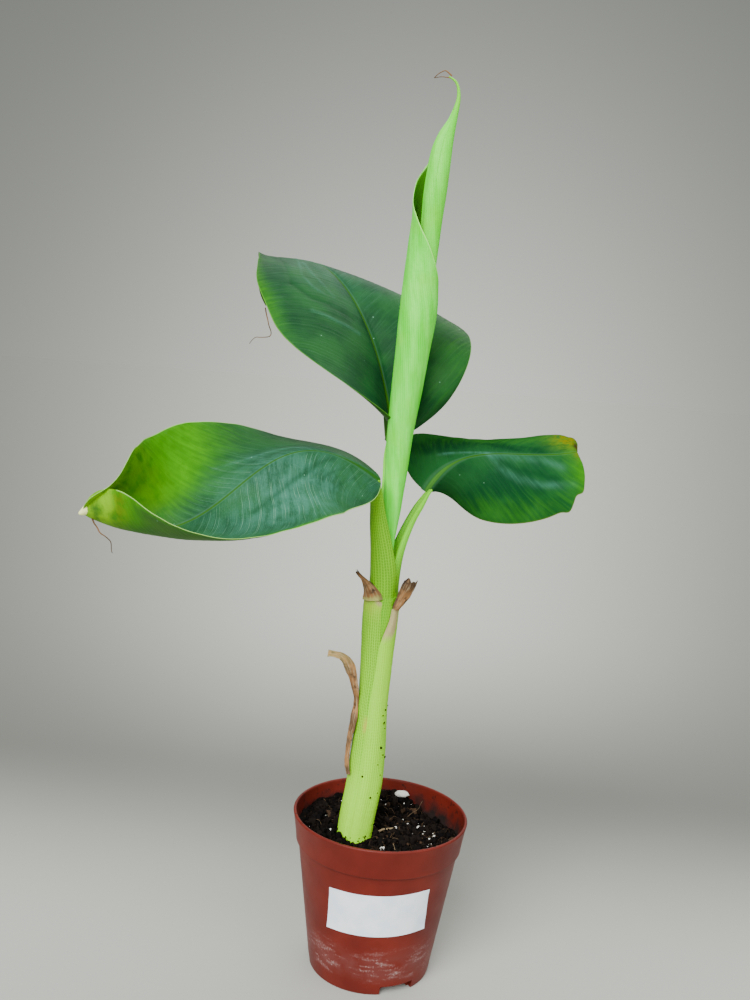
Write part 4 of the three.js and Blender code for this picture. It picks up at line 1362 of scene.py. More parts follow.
@dataclass
class Stem:
    """The short trunk: a core of rolled sheaths and two outer sheaths that meet
    at a seam in front and one behind."""

    axis: tuple = (
        (-12.5, -8, 70, 8.9),
        (-9.4, -6, 103, 9),
        (-8.6, -3.2, 146, 7.6),
        (-8.3, -0.5, 189, 9),
        (-8.1, -0.3, 197, 8.8),
    )
    foot: float = 70
    sheath_top: float = 189.5
    left_rise: float = 7
    fork: float = 196
    mean_radius: float = 8.6
    thickness: float = 1.1
    edge_thickness: float = 0.22
    edge_reach: float = 2.4
    right_rise: float = 1.4
    torn: float = 1.1
    torn_depth: float = 9
    warm_depth: float = 16
    dry_depth: float = 7
    back_lap: float = 4.0
    front_lap: float = 3
    back_overrun: float = 1.0
    overlap_lift: float = 0.12
    core_gap: float = 0.3
    bare_swell: float = 0.65
    rows: int = 220
    columns: int = 112
    core_rows: int = 160
    core_columns: int = 96
    seam: tuple = ((70, -22), (113, -16), (142, -9), (159, 3), (172, 10), (189.5, 12))
    open_from: float = 170
    open_left: float = 2
    open_right: float = 44
    back_seam: float = 196
    ridge: float = 1.15
    ridge_height: float = 0.045
    speck_counts: tuple[int, int] = (60, 22)
    large_specks: tuple = ((105.7, -8), (95, 28), (138.7, 62), (113.8, 80), (132.2, 58), (120, 48))

    def seam_angle(self, heights: Array) -> Array:
        """Where the sheaths meet in front, in degrees."""
        places, angles = np.array(self.seam).T
        return np.interp(heights, places, angles)

    def relief(self, heights: Array, turn: Array, seed: int) -> Array:
        """Fine ridges along the stem and soft swellings, in millimetres."""
        along = heights[:, None]
        outward = np.radians(turn) * self.mean_radius
        flat = points_at(outward, 0, along)
        drift = 0.5 * Ripple(30, seed).at(flat, (1, 1, 3))
        ridges = self.ridge_height * np.sin((outward + drift) * FULL_TURN / self.ridge)
        soft = 0.16 * Ripple(6, seed + 1).at(flat, (1, 1, 5))
        return ridges + soft + 0.03 * Ripple(1.5, seed + 2).at(flat)

    def skin_marks(self, heights: Array, turn: Array) -> dict[str, Array]:
        """The marks that every piece of the stem carries."""
        along = np.broadcast_to(heights[:, None], turn.shape)
        pale = 0.25 + 0.75 * smooth(-along, -130, -72)
        return {"turn": np.radians(turn) * self.mean_radius, "along": along, "pale": pale}

    def sheath(self, left: bool) -> Surface:
        """One outer sheath, thin at its two edges and ragged on top."""
        head = self.sheath_top + (self.left_rise if left else self.right_rise)
        base = np.linspace(self.foot, head, self.rows)
        opened = smooth(base, self.open_from, self.sheath_top)
        seam = self.seam_angle(base)
        if left:
            start = np.full(self.rows, self.back_seam - 360 - self.back_lap)
            end = seam + opened * (self.open_left - seam)
        else:
            start = seam - self.front_lap + opened * (self.open_right - seam)
            end = np.full(self.rows, self.back_seam + self.back_overrun)
        share = np.linspace(0, 1, self.columns)
        turn = start[:, None] + (end - start)[:, None] * share
        nearest = np.minimum(turn - start[:, None], end[:, None] - turn)
        from_edge = nearest * self.mean_radius * math.pi / 180
        edge = smooth(from_edge, 0, self.edge_reach)
        outer = self.relief(base, turn, 50 if left else 60) * edge
        thick = self.edge_thickness + (self.thickness - self.edge_thickness) * edge
        lift = outer - self.thickness + thick + (0 if left else self.overlap_lift)
        top = level_rings(self.axis, base, turn, lift)
        bottom = level_rings(self.axis, base, turn, lift - thick)
        jagged = self.torn * Ripple(5, 88).at(points_at(turn, 0) * 0.15)
        low = self.left_rise * (1 - smooth(turn, -150, -95)) + 2 * smooth(turn, -60, 0)
        torn = smooth(base, head - self.torn_depth, head)[:, None]
        drop = (jagged + (low if left else 0)) * torn
        top[..., 2] -= drop
        bottom[..., 2] -= drop
        near_top = smooth(base, head - self.warm_depth, head)[:, None]
        marks = self.skin_marks(base, turn)
        if left:
            side = bell(turn + 40, 60)
            stain = bell(base - 130, 5)[:, None] * bell(turn + 14, 16)
            marks["warm"] = np.clip(near_top * side * 0.5 + stain, 0, 1)
            dry = smooth(base, head - self.dry_depth, head)[:, None]
            marks["papery"] = dry * 0.75 + 0 * side
            marks["pale"] = marks["pale"] + 0.4 * near_top * side
        else:
            front = 1 - smooth(turn, 60, 120)
            upper = smooth(base, 168, 182)[:, None]
            marks["papery"] = upper * front * (1 - smooth(from_edge, 4, 10))
            marks["pale"] = marks["pale"] + 0.45 * smooth(base, 90, 150)[:, None] * front
            marks["warm"] = near_top * 0.5 * front
        marks = {name: np.broadcast_to(values, turn.shape) for name, values in marks.items()}
        return plate(top, bottom, marks)

    def core(self) -> Surface:
        """The rolled inner sheaths, up to the fork."""
        heights = np.linspace(self.foot, self.fork, self.core_rows)
        turn = np.linspace(0, 360, self.core_columns, endpoint=False)
        turn = np.broadcast_to(turn, (self.core_rows, self.core_columns))
        lift = self.relief(heights, turn, 70) * 0.6 - self.thickness - self.core_gap
        bared = self.bare_swell * smooth(heights, self.sheath_top, self.fork)[:, None]
        rings = level_rings(self.axis, heights, turn, lift + bared)
        return limb(rings, self.skin_marks(heights, turn))

    def specks(self) -> Surface:
        """Crumbs of soil splashed on the stem's foot and right side."""
        rng = np.random.default_rng(81)
        many, few = self.speck_counts
        low = rng.uniform(70, 75, many)
        high = rng.uniform(78, 140, few)
        large_heights, large_turns = np.array(self.large_specks).T
        heights = np.concatenate([low, high, large_heights])
        low_turns = rng.uniform(-180, 180, many)
        turn = np.concatenate([low_turns, rng.normal(66, 24, few), large_turns])
        at = level_rings(self.axis, heights, turn[:, None], np.full((len(turn), 1), 0.1))[:, 0]
        low_sizes = rng.uniform(0.25, 0.7, many)
        high_sizes = rng.uniform(0.2, 0.5, few)
        large_sizes = rng.uniform(0.5, 0.85, len(large_turns))
        size = np.concatenate([low_sizes, high_sizes, large_sizes])
        shape = size[:, None] * rng.uniform(0.6, 1.1, (len(turn), 3))
        return scattered(rng, at, shape, 0.3, 2)

    def build(self) -> None:
        """Makes the stem's pieces."""
        add_piece("stem_core", self.core(), STEM_CORE, ["pseudostem"])
        add_piece("left_sheath", self.sheath(left=True), STEM, ["sheath_left"])
        add_piece("right_sheath", self.sheath(left=False), STEM, ["sheath_right"])
        add_piece("stem_specks", self.specks(), GrainFinish(name="peat_specks"))


@dataclass
class Channel:
    """A crescent section swept along a curve, its hollow away from outward."""

    path: tuple
    outward: tuple
    width: tuple
    depth: tuple
    groove: tuple
    horn: tuple[float, float] = (0.4, 1.3)

    def sections(self, s: Array) -> tuple[Array, ...]:
        """The middle, heading, outward and across vectors at places s."""
        middle = bezier(self.path, s)
        heading = bezier_heading(self.path, s)
        first, last = (np.array(way, float) for way in self.outward)
        outward = first + s[:, None] * (last - first)
        outward = outward - heading * (outward * heading).sum(-1, keepdims=True)
        outward = unit(outward)
        return middle, heading, outward, np.cross(heading, outward)

    def sheet(self, s: Array, columns: int, relief: Callable[[Array, Array], Array]) -> Surface:
        """The swept crescent.

        Args:
            s: Places along the path for its rows; the sizes hold beyond 0 and 1.
            columns: Points across it.
            relief: Gives the distance out for arrays of along and turn.

        Returns:
            The crescent, with the marks along, turn and rim in millimetres.
        """
        middle, _, outward, across = self.sections(s)
        held = np.clip(s, 0, 1)
        half = bezier(self.width, held) / 2
        depth = bezier(self.depth, held)
        groove = bezier(self.groove, held)
        horn = np.minimum(self.horn[1], self.horn[0] * half)
        angle = np.linspace(-math.pi / 2, math.pi / 2, columns)
        along = np.broadcast_to(run_length(middle)[:, None], (len(s), columns))
        turn = np.broadcast_to(angle * half.mean(), along.shape)
        lift = relief(along, turn)

        def arc(half_width: Array, height: Array, out: Array) -> Array:
            """One side of the crescent."""
            sine, cosine = np.sin(angle), np.cos(angle)
            wide = (half_width[:, None] * sine + out * sine)[..., None] * across[:, None]
            high = (height[:, None] * cosine + out * cosine)[..., None] * outward[:, None]
            return middle[:, None] + wide + high

        outer = arc(half, depth, lift)
        inner = arc(half - horn, groove, 0.3 * lift)
        rim = (1 - np.abs(np.sin(angle))) * half.mean()
        marks = {"along": along, "turn": turn, "rim": np.broadcast_to(rim, along.shape)}
        return plate(outer, inner, marks)


STALKS = {
    "left": Channel(
        path=((-8.1, -0.3, 196.3), (-7.6, -2.6, 222), (-13.5, -5.5, 232), (-14.4, -11.4, 253.4)),
        outward=((-0.35, -0.94, 0), (-0.7, -0.7, 0)),
        width=(14.5, 14.5, 7.5, 7),
        depth=(8, 8, 4.6, 4),
        groove=(4.2, 4, 1.8, 1.2),
    ),
    "right": Channel(
        path=((-8.1, -0.3, 196.3), (-6.2, 1.5, 213), (-3.0, 6, 229), (10.2, 16.7, 247.9)),
        outward=((0.95, 0.3, 0), (0.75, 0.5, -0.4)),
        width=(14, 12, 4.5, 6.5),
        depth=(8, 6, 3.6, 3),
        groove=(4.2, 3, 1.6, 0.6),
    ),
    "back": Channel(
        path=((-8.1, -0.3, 196.3), (-8.5, 3, 218), (-9.6, 10, 248), (-11.2, 18.4, 272.2)),
        outward=((-0.2, 0.98, 0), (-0.2, 0.98, -0.1)),
        width=(13, 9, 6, 5.5),
        depth=(8, 6, 4, 3.5),
        groove=(4.2, 3, 1.8, 1),
    ),
}


@dataclass
class Stalks:
    """The three channelled leaf stalks above the fork."""

    below: float = 0.04
    beyond: float = 1.03
    end_taper: float = 0.45
    ridge: float = 1.1
    ridge_height: float = 0.04
    rows: int = 150
    columns: int = 64
    paleness: dict[str, float] = field(
        default_factory=lambda: {"left": 0, "back": 0.7, "right": 0.9}
    )
    half_shaded: str = "right"

    def relief(self, seed: int) -> Callable[[Array, Array], Array]:
        """Long ridges and soft swellings for one stalk."""

        def lift(along: Array, turn: Array) -> Array:
            """Millimetres out at each place."""
            flat = points_at(turn, 0, along)
            drift = Ripple(25, seed).at(flat)
            ridges = self.ridge_height * np.sin(turn * FULL_TURN / self.ridge + drift)
            return ridges + 0.12 * Ripple(7, seed + 1).at(flat, (1, 1, 4))

        return lift

    def build(self) -> None:
        """Makes the stalks."""
        for seed, (name, channel) in enumerate(STALKS.items(), 90):
            s = np.linspace(-self.below, self.beyond, self.rows)
            body = channel.sheet(s, self.columns, self.relief(seed))
            place = np.tile(np.repeat(s, self.columns), 2)
            middle = bezier(channel.path, place)
            drawn = 1 - self.end_taper * smooth(place, 0.86, self.beyond)
            body.points = middle + (body.points - middle) * drawn[:, None]
            side = body.marks["turn"] / np.abs(body.marks["turn"]).max()
            pale = 0.15 + self.paleness[name] * smooth(place, 0.1, 0.9)
            # Painted light on the right stalk: a pale painted highlight down one half, and painted
            # shade, without the paleness, on the other.
            if name == self.half_shaded:
                pale = 1.2 * pale * smooth(-side, -0.2, 0.3)
            body.marks["pale"] = pale
            body.marks["inner"] = body.marks["under"] * 0.5
            add_piece(f"{name}_stalk", body, StalkFinish(), [f"stalk_{name}"])


# Blades ---------------------------------------------------------------------


class Tint(Enum):
    """The place-bound tints of a blade, named as its finish reads them. Glow, bloom and crease are
    painted light, reflection and shade; wither is real yellowing in places and painted light in
    others.
    """

    GLOW = "glow"
    BLOOM = "bloom"
    WITHER = "wither"
    GOLD = "gold"
    BURNT = "burnt"
    CREASE = "crease"


@dataclass(frozen=True)
class Patch:
    """A soft spot of a tint, by its place along and across a blade."""

    tint: Tint
    along: float
    out: float
    length: float
    width: float
    strength: float = 1.0

    def at(self, s: Array, out: Array) -> Array:
        """How strong the tint is at places along and out, -1 to 1."""
        return self.strength * bell(s - self.along, self.length) * bell(out - self.out, self.width)


@dataclass(frozen=True)
class Stroke:
    """A long soft mark through places given in millimetres along the midrib and
    out from it, with a height that it stands out or, below 0, sinks in."""

    tint: Tint
    places: tuple[tuple[float, float], ...]
    width: float
    strength: float = 1.0
    height: float = 0.0

    def at(self, along: Array, reach: Array) -> Array:
        """How strong the mark is at places along and out."""
        here = np.stack([along, reach], -1)
        nearest = np.full(along.shape, np.inf)
        for start, end in zip(self.places, self.places[1:]):
            way = np.subtract(end, start)
            from_start = here - start
            share = np.clip(from_start @ way / (way @ way), 0, 1)
            away = np.linalg.norm(from_start - share[..., None] * way, axis=-1)
            nearest = np.minimum(nearest, away)
        return bell(nearest, self.width)


@dataclass(frozen=True)
class Bulge:
    """A stretch of margin that stands out by a size in millimetres."""

    side: Side
    along: float
    length: float
    size: float


@dataclass
class Blade:
    """One spread leaf blade. Each four-value tuple runs from base to tip: roll
    turns the section, fold lifts each half at the midrib, curl bends it on to
    its margin (degrees), and rake drags the margins along the leaf."""

    name: str
    node: str
    midrib: tuple
    facing: tuple
    roll: tuple
    fold: dict[Side, tuple]
    curl: dict[Side, tuple]
    rake: tuple
    half_width: dict[Side, float]
    fullness: tuple[float, float]
    seed: int
    margin: Colour
    rib_base: Colour
    gloss: float = 0.05
    vein_share: float = 1.0
    patches: tuple[Patch, ...] = ()
    strokes: tuple[Stroke, ...] = ()
    bulges: tuple[Bulge, ...] = ()
    base_half_width: float = 3.2
    end_crowding: float = 0.35
    stations: int = 210
    columns: int = 52
    thickness: float = 0.7
    edge_thickness: float = 0.18
    keel: float = 2.6
    pleat: float = 0.03
    pleat_lean: float = 0.7
    pleat_spacing: tuple[float, float] = (5.2, 2.3)
    wave: float = 0.25
    frill: float = 0.12

    def width_at(self, side: Side, s: Array) -> Array:
        """Half the blade's width on one side."""
        base, tip = self.fullness
        widest = base / (base + tip)
        most = widest**base * (1 - widest) ** tip
        width = self.half_width[side] * s**base * (1 - s) ** tip / most
        for bulge in self.bulges:
            if bulge.side is side:
                width = width + bulge.size * bell(s - bulge.along, bulge.length)
        return np.maximum(width, self.base_half_width * (1 - s) + 0.4)

    def half(self, side: Side, s: Array, frame_at: tuple[Array, ...]) -> tuple[Array, Array]:
        """One half of the blade.

        Args:
            side: Which half.
            s: Places along the midrib.
            frame_at: The midrib's points and heading, and the rolled across and
                up vectors there.

        Returns:
            Points out from the midrib, and their distance from it.
        """
        middle, heading, across, up = frame_at
        step = self.width_at(side, s)[:, None] / self.columns
        out = (np.arange(self.columns) + 0.5)[None, :] / self.columns
        angle = bezier(self.fold[side], s)[:, None] + bezier(self.curl[side], s)[:, None] * out
        angle = np.radians(angle)
        rake = bezier(self.rake, s)[:, None] * out
        move = (side.value * np.cos(angle))[..., None] * across[:, None]
        move = move + np.sin(angle)[..., None] * up[:, None] + rake[..., None] * heading[:, None]
        points = middle[:, None] + np.cumsum(move * step[..., None], axis=1)
        return points, step * np.arange(1, self.columns + 1)

    def grid(self, s: Array) -> tuple[Array, Array, Array]:
        """The blade's middle layer.

        Args:
            s: Places along the midrib.

        Returns:
            Points from the left margin to the right one, their signed distance
            from the midrib, and the distance from the nearest margin.
        """
        middle = bezier(self.midrib, s)
        heading = bezier_heading(self.midrib, s)
        across = unit(np.cross(heading, unit(np.array(self.facing, float))))
        up = np.cross(across, heading)
        roll = np.radians(bezier(self.roll, s))[:, None]
        rolled_across = across * np.cos(roll) + up * np.sin(roll)
        rolled_up = up * np.cos(roll) - across * np.sin(roll)
        frame_at = (middle, heading, rolled_across, rolled_up)
        left, left_reach = self.half(Side.LEFT, s, frame_at)
        right, right_reach = self.half(Side.RIGHT, s, frame_at)
        points = np.concatenate([left[:, ::-1], middle[:, None], right], axis=1)
        none = np.zeros((len(s), 1))
        reach = np.concatenate([-left_reach[:, ::-1], none, right_reach], axis=1)
        left_rim = (left_reach[:, -1:] - left_reach)[:, ::-1]
        right_rim = right_reach[:, -1:] - right_reach
        rim = np.concatenate([left_rim, left_reach[:, -1:], right_rim], axis=1)
        return points, reach, rim

    def relief(self, s: Array, along: Array, reach: Array, rim: Array, points: Array) -> Array:
        """Pleats, creases, soft waves and a frilled margin.

        Args:
            s: Places along the midrib.
            along: Distance along the midrib of each point of the grid.
            reach: Signed distance from the midrib.
            rim: Distance from the margin.
            points: The middle layer.

        Returns:
            Distance up from the middle layer.
        """
        away = np.abs(reach)
        vein = along - self.pleat_lean * away + 0.8 * Ripple(30, self.seed).at(points)
        large, small = self.pleat_spacing
        pleats = self.pleat * np.sin(vein * FULL_TURN / large)
        pleats = pleats + 0.4 * self.pleat * np.sin(vein * FULL_TURN / small)
        for stroke in self.strokes:
            pleats = pleats + stroke.height * stroke.at(along, reach)
        open_blade = smooth(away, 1.5, 6) * smooth(rim, 0.5, 4)
        wave = self.wave * Ripple(38, self.seed + 1).at(points) * smooth(away, 4, 20)
        frill = self.frill * Ripple(13, self.seed + 2).at(points) * bell(rim, 7)
        return pleats * open_blade + wave + frill * smooth(s, 0.1, 0.3)[:, None]

    def marks(self, s: Array, along: Array, reach: Array, rim: Array) -> dict[str, Array]:
        """The marks of its finish, for the arrays that relief takes."""
        out = np.linspace(-1, 1, reach.shape[1])[None, :]
        tucked = smooth(s, 0.91, 0.95)[:, None] * (reach < 0)
        marks = {"along": along, "reach": reach, "rim": rim + 3 * tucked}
        for tint in Tint:
            spots = [p.at(s[:, None], out) for p in self.patches if p.tint is tint]
            lines = [k.strength * k.at(along, reach) for k in self.strokes if k.tint is tint]
            marks[tint.value] = np.clip(sum(spots) + sum(lines) + 0 * reach, 0, 1)
        return marks

    def build(self) -> None:
        """Makes the blade."""
        eased = (1 - np.cos(np.linspace(0, math.pi, self.stations))) / 2
        even = np.linspace(0, 1, self.stations)
        s = self.end_crowding * eased + (1 - self.end_crowding) * even
        points, reach, rim = self.grid(s)
        along = run_length(bezier(self.midrib, s))[:, None] + 0 * reach
        rim = np.minimum(rim, np.where(s[:, None] > 0.8, along[-1, 0] - along, rim))
        normal = grid_normals(points)
        lift = self.relief(s, along, reach, rim, points)[..., None] * normal

        away = np.abs(reach)
        taper = (1 - s)[:, None]
        narrowing = 0.25 + 0.75 * taper
        keel = self.keel * narrowing * taper**0.4 * bell(away, 0.9 + 2.4 * taper)
        groove = narrowing * bell(away, 0.6 + 1.0 * taper)
        thick = self.edge_thickness + (self.thickness - self.edge_thickness) * smooth(rim, 0, 2.5)
        top = points + lift + (0.5 * thick - groove)[..., None] * normal
        bottom = points + lift - (0.5 * thick + keel)[..., None] * normal
        body = plate(top, bottom, self.marks(s, along, reach, rim))
        finish = BladeFinish(
            name=f"{self.name}_green",
            margin=self.margin,
            rib_base=self.rib_base,
            gloss=self.gloss,
            vein_share=self.vein_share,
        )
        add_piece(self.name, body, finish, [self.node], sharp=75)


BLADES = (
    Blade(
        name="left_blade",
        node="leaf_left",
        midrib=((-13, -12, 255), (-79, -46, 304), (-73, -48, 202), (-142, -64, 235)),
        facing=(0, -0.6, 0.8),
        roll=(-3, -6, 8, -6),
        fold={Side.RIGHT: (-21, -50, -8, 50), Side.LEFT: (-18, -45, -16, 56)},
        curl={Side.RIGHT: (-8, 6, 54, 105), Side.LEFT: (33, 35, 63, 105)},
        rake=(-0.1, -0.36, -0.19, 0.59),
        half_width={Side.RIGHT: 49, Side.LEFT: 47},
        fullness=(0.4, 0.47),
        seed=200,
        margin=(0.36, 0.66, 0.16),
        rib_base=(0.02, 0.1, 0.01),
        patches=(
            # Painted light shining through the far half and along the margin.
            Patch(Tint.GLOW, 0.8, 0.95, 0.3, 0.6, 1.9),
            Patch(Tint.GLOW, 0.9, -0.8, 0.09, 0.7, 0.9),
            Patch(Tint.GLOW, 0.6, -1.0, 0.4, 0.06, 0.6),
            # Painted sheen over the near half.
            Patch(Tint.BLOOM, 0.35, -0.45, 0.3, 0.5, 1.0),
            Patch(Tint.BLOOM, 0.4, 0.15, 0.25, 0.25, 0.3),
            # Painted light: yellow where the far half turns from the light and on the shaded tip
            # curl.
            Patch(Tint.WITHER, 0.87, 0.8, 0.12, 0.6, 0.4),
            Patch(Tint.WITHER, 0.975, -0.75, 0.055, 0.7, 1.5),
            Patch(Tint.WITHER, 0.985, 0.7, 0.045, 0.7, 1.5),
            Patch(Tint.GOLD, 0.91, -0.75, 0.02, 0.3, 0.5),
        ),
        strokes=(
            # Painted shade along the creases.
            Stroke(Tint.CREASE, ((84, -16), (66, -15), (47, -12), (29, -3)), 1.5, 0.9, -0.35),
            Stroke(Tint.CREASE, ((40, -17), (22, -6)), 0.8, 0.5, -0.15),
            Stroke(Tint.CREASE, ((34, -23), (16, -9)), 0.8, 0.5, -0.15),
            Stroke(Tint.CREASE, ((31, -7), (24, -21)), 0.7, 0.4, -0.12),
            Stroke(Tint.CREASE, ((19, -4), (11, -14)), 0.7, 0.4, -0.12),
            Stroke(Tint.CREASE, ((30, 2), (60, 9), (92, 17)), 1.6, 0.5, -0.15),
            Stroke(Tint.CREASE, ((24, 6), (52, 17), (80, 25)), 1.8, 0.4, -0.15),
            # Painted sheen along a ridge.
            Stroke(Tint.BLOOM, ((30, 4), (58, 13), (84, 20)), 1.0, 0.4, 0.12),
        ),
        bulges=(
            Bulge(Side.RIGHT, 0.36, 0.1, 3),
            Bulge(Side.RIGHT, 0.5, 0.1, 3.6),
            Bulge(Side.RIGHT, 0.72, 0.06, 1.3),
            Bulge(Side.RIGHT, 0.8, 0.05, 2.7),
            Bulge(Side.RIGHT, 0.868, 0.05, 7),
        ),
    ),
    Blade(
        name="back_blade",
        node="leaf_back",
        midrib=((-11.3, 19, 273), (-16, 18.5, 335), (-69, 80.5, 402.5), (-92, 100, 340.5)),
        facing=(0, 0, 1),
        roll=(27, 21, 1, -23),
        fold={Side.RIGHT: (79, 30, -7, -40), Side.LEFT: (65, 18, -2, -13)},
        curl={Side.RIGHT: (-60, -71, -71, -67), Side.LEFT: (-35, -33, -22, -9)},
        rake=(0.79, -0.62, -0.9, -0.9),
        half_width={Side.RIGHT: 56, Side.LEFT: 56},
        fullness=(0.38, 0.66),
        seed=210,
        margin=(0.1, 0.3, 0.03),
        rib_base=(0.05, 0.22, 0.0),
        vein_share=0.7,
        patches=(
            # Painted light shining through the blade.
            Patch(Tint.GLOW, 0.55, -1.0, 0.28, 0.16, 0.45),
            Patch(Tint.GLOW, 0.2, 0.9, 0.35, 0.7, 0.22),
            # Painted sheen.
            Patch(Tint.BLOOM, 0.6, 0.0, 0.2, 0.6, 0.3),
            # Painted shade, darkening the tip end.
            Patch(Tint.CREASE, 0.9, 0.0, 0.14, 1.2, 0.8),
        ),
        strokes=(
            # Painted shade along the creases.
            Stroke(Tint.CREASE, ((98, -35), (82, -29), (69, -14), (65, -9)), 1.5, 0.9, -0.4),
            Stroke(Tint.CREASE, ((151, -11), (125, -26), (98, -35)), 1.3, 0.5, -0.2),
            # Painted highlights along the ridges.
            Stroke(Tint.BLOOM, ((141, -3), (102, -25), (90, -24), (83, -20)), 0.9, 0.35, 0.15),
            Stroke(Tint.BLOOM, ((118, -13), (102, -17), (88, -16), (81, -14)), 0.9, 0.35, 0.15),
            Stroke(Tint.BLOOM, ((73, -33), (63, -22), (56, -10)), 1.2, 0.5, 0.2),
        ),
        bulges=(Bulge(Side.LEFT, 0.64, 0.11, 5.5), Bulge(Side.LEFT, 0.9, 0.07, -3)),
    ),
    Blade(
        name="right_blade",
        node="leaf_right",
        midrib=((10.2, 17, 248), (24.6, 23, 280), (56, 57.5, 263.5), (91, 56, 272.3)),
        facing=(0, -0.6, 0.8),
        roll=(-29, -1, 10, 7),
        fold={Side.RIGHT: (-55, -39, -27, -13), Side.LEFT: (-11, -24, -24, -9)},
        curl={Side.RIGHT: (-37, -28, -21, -13), Side.LEFT: (-5, -10, -10, -2)},
        rake=(0.04, 0.12, 0.27, 0.42),
        half_width={Side.RIGHT: 38.5, Side.LEFT: 45.5},
        fullness=(0.53, 0.39),
        seed=220,
        margin=(0.09, 0.15, 0.01),
        rib_base=(0.06, 0.2, 0.03),
        gloss=0.0,
        vein_share=0.35,
        patches=(
            # Painted light shining through the blade.
            Patch(Tint.GLOW, 0.55, -0.8, 0.6, 0.5, 0.3),
            Patch(Tint.GLOW, 0.5, 0.9, 0.6, 0.4, 0.3),
            Patch(Tint.GLOW, 1.0, 0.5, 0.1, 0.9, 0.4),
            # Painted sheen.
            Patch(Tint.BLOOM, 0.55, 0.1, 0.3, 0.3, 0.08),
            Patch(Tint.WITHER, 0.97, -0.6, 0.08, 0.5, 0.3),
            Patch(Tint.GOLD, 0.96, -0.8, 0.055, 0.4, 1.1),
            Patch(Tint.GOLD, 1.0, 0.2, 0.02, 0.3, 0.6),
            Patch(Tint.BURNT, 0.995, -0.6, 0.012, 0.3, 1.0),
        ),
        strokes=(
            # Painted sheen bands, with painted shade in the valley between them.
            Stroke(Tint.BLOOM, ((46, 1), (50, 8), (61, 15), (75, 19), (90, 20)), 2.2, 0.5, 0.25),
            Stroke(Tint.BLOOM, ((46, 1), (62, 2), (78, 3), (88, 9)), 2.6, 0.4, 0.2),
            # Painted shade in the valley between the sheen bands.
            Stroke(Tint.CREASE, ((52, 4), (60, 9), (72, 12), (84, 16)), 1.3, 0.7, -0.3),
            Stroke(Tint.BLOOM, ((21, -10), (35, -4), (46, -1)), 1.3, 0.6, 0.2),
        ),
        bulges=(
            Bulge(Side.RIGHT, 0.84, 0.03, 2.6),
            Bulge(Side.RIGHT, 0.9, 0.02, -1.2),
            Bulge(Side.RIGHT, 0.94, 0.02, 1.6),
            Bulge(Side.LEFT, 0.86, 0.03, 1.4),
            Bulge(Side.LEFT, 0.955, 0.012, -1.2),
        ),
    ),
)


# The rolled leaf ------------------------------------------------------------


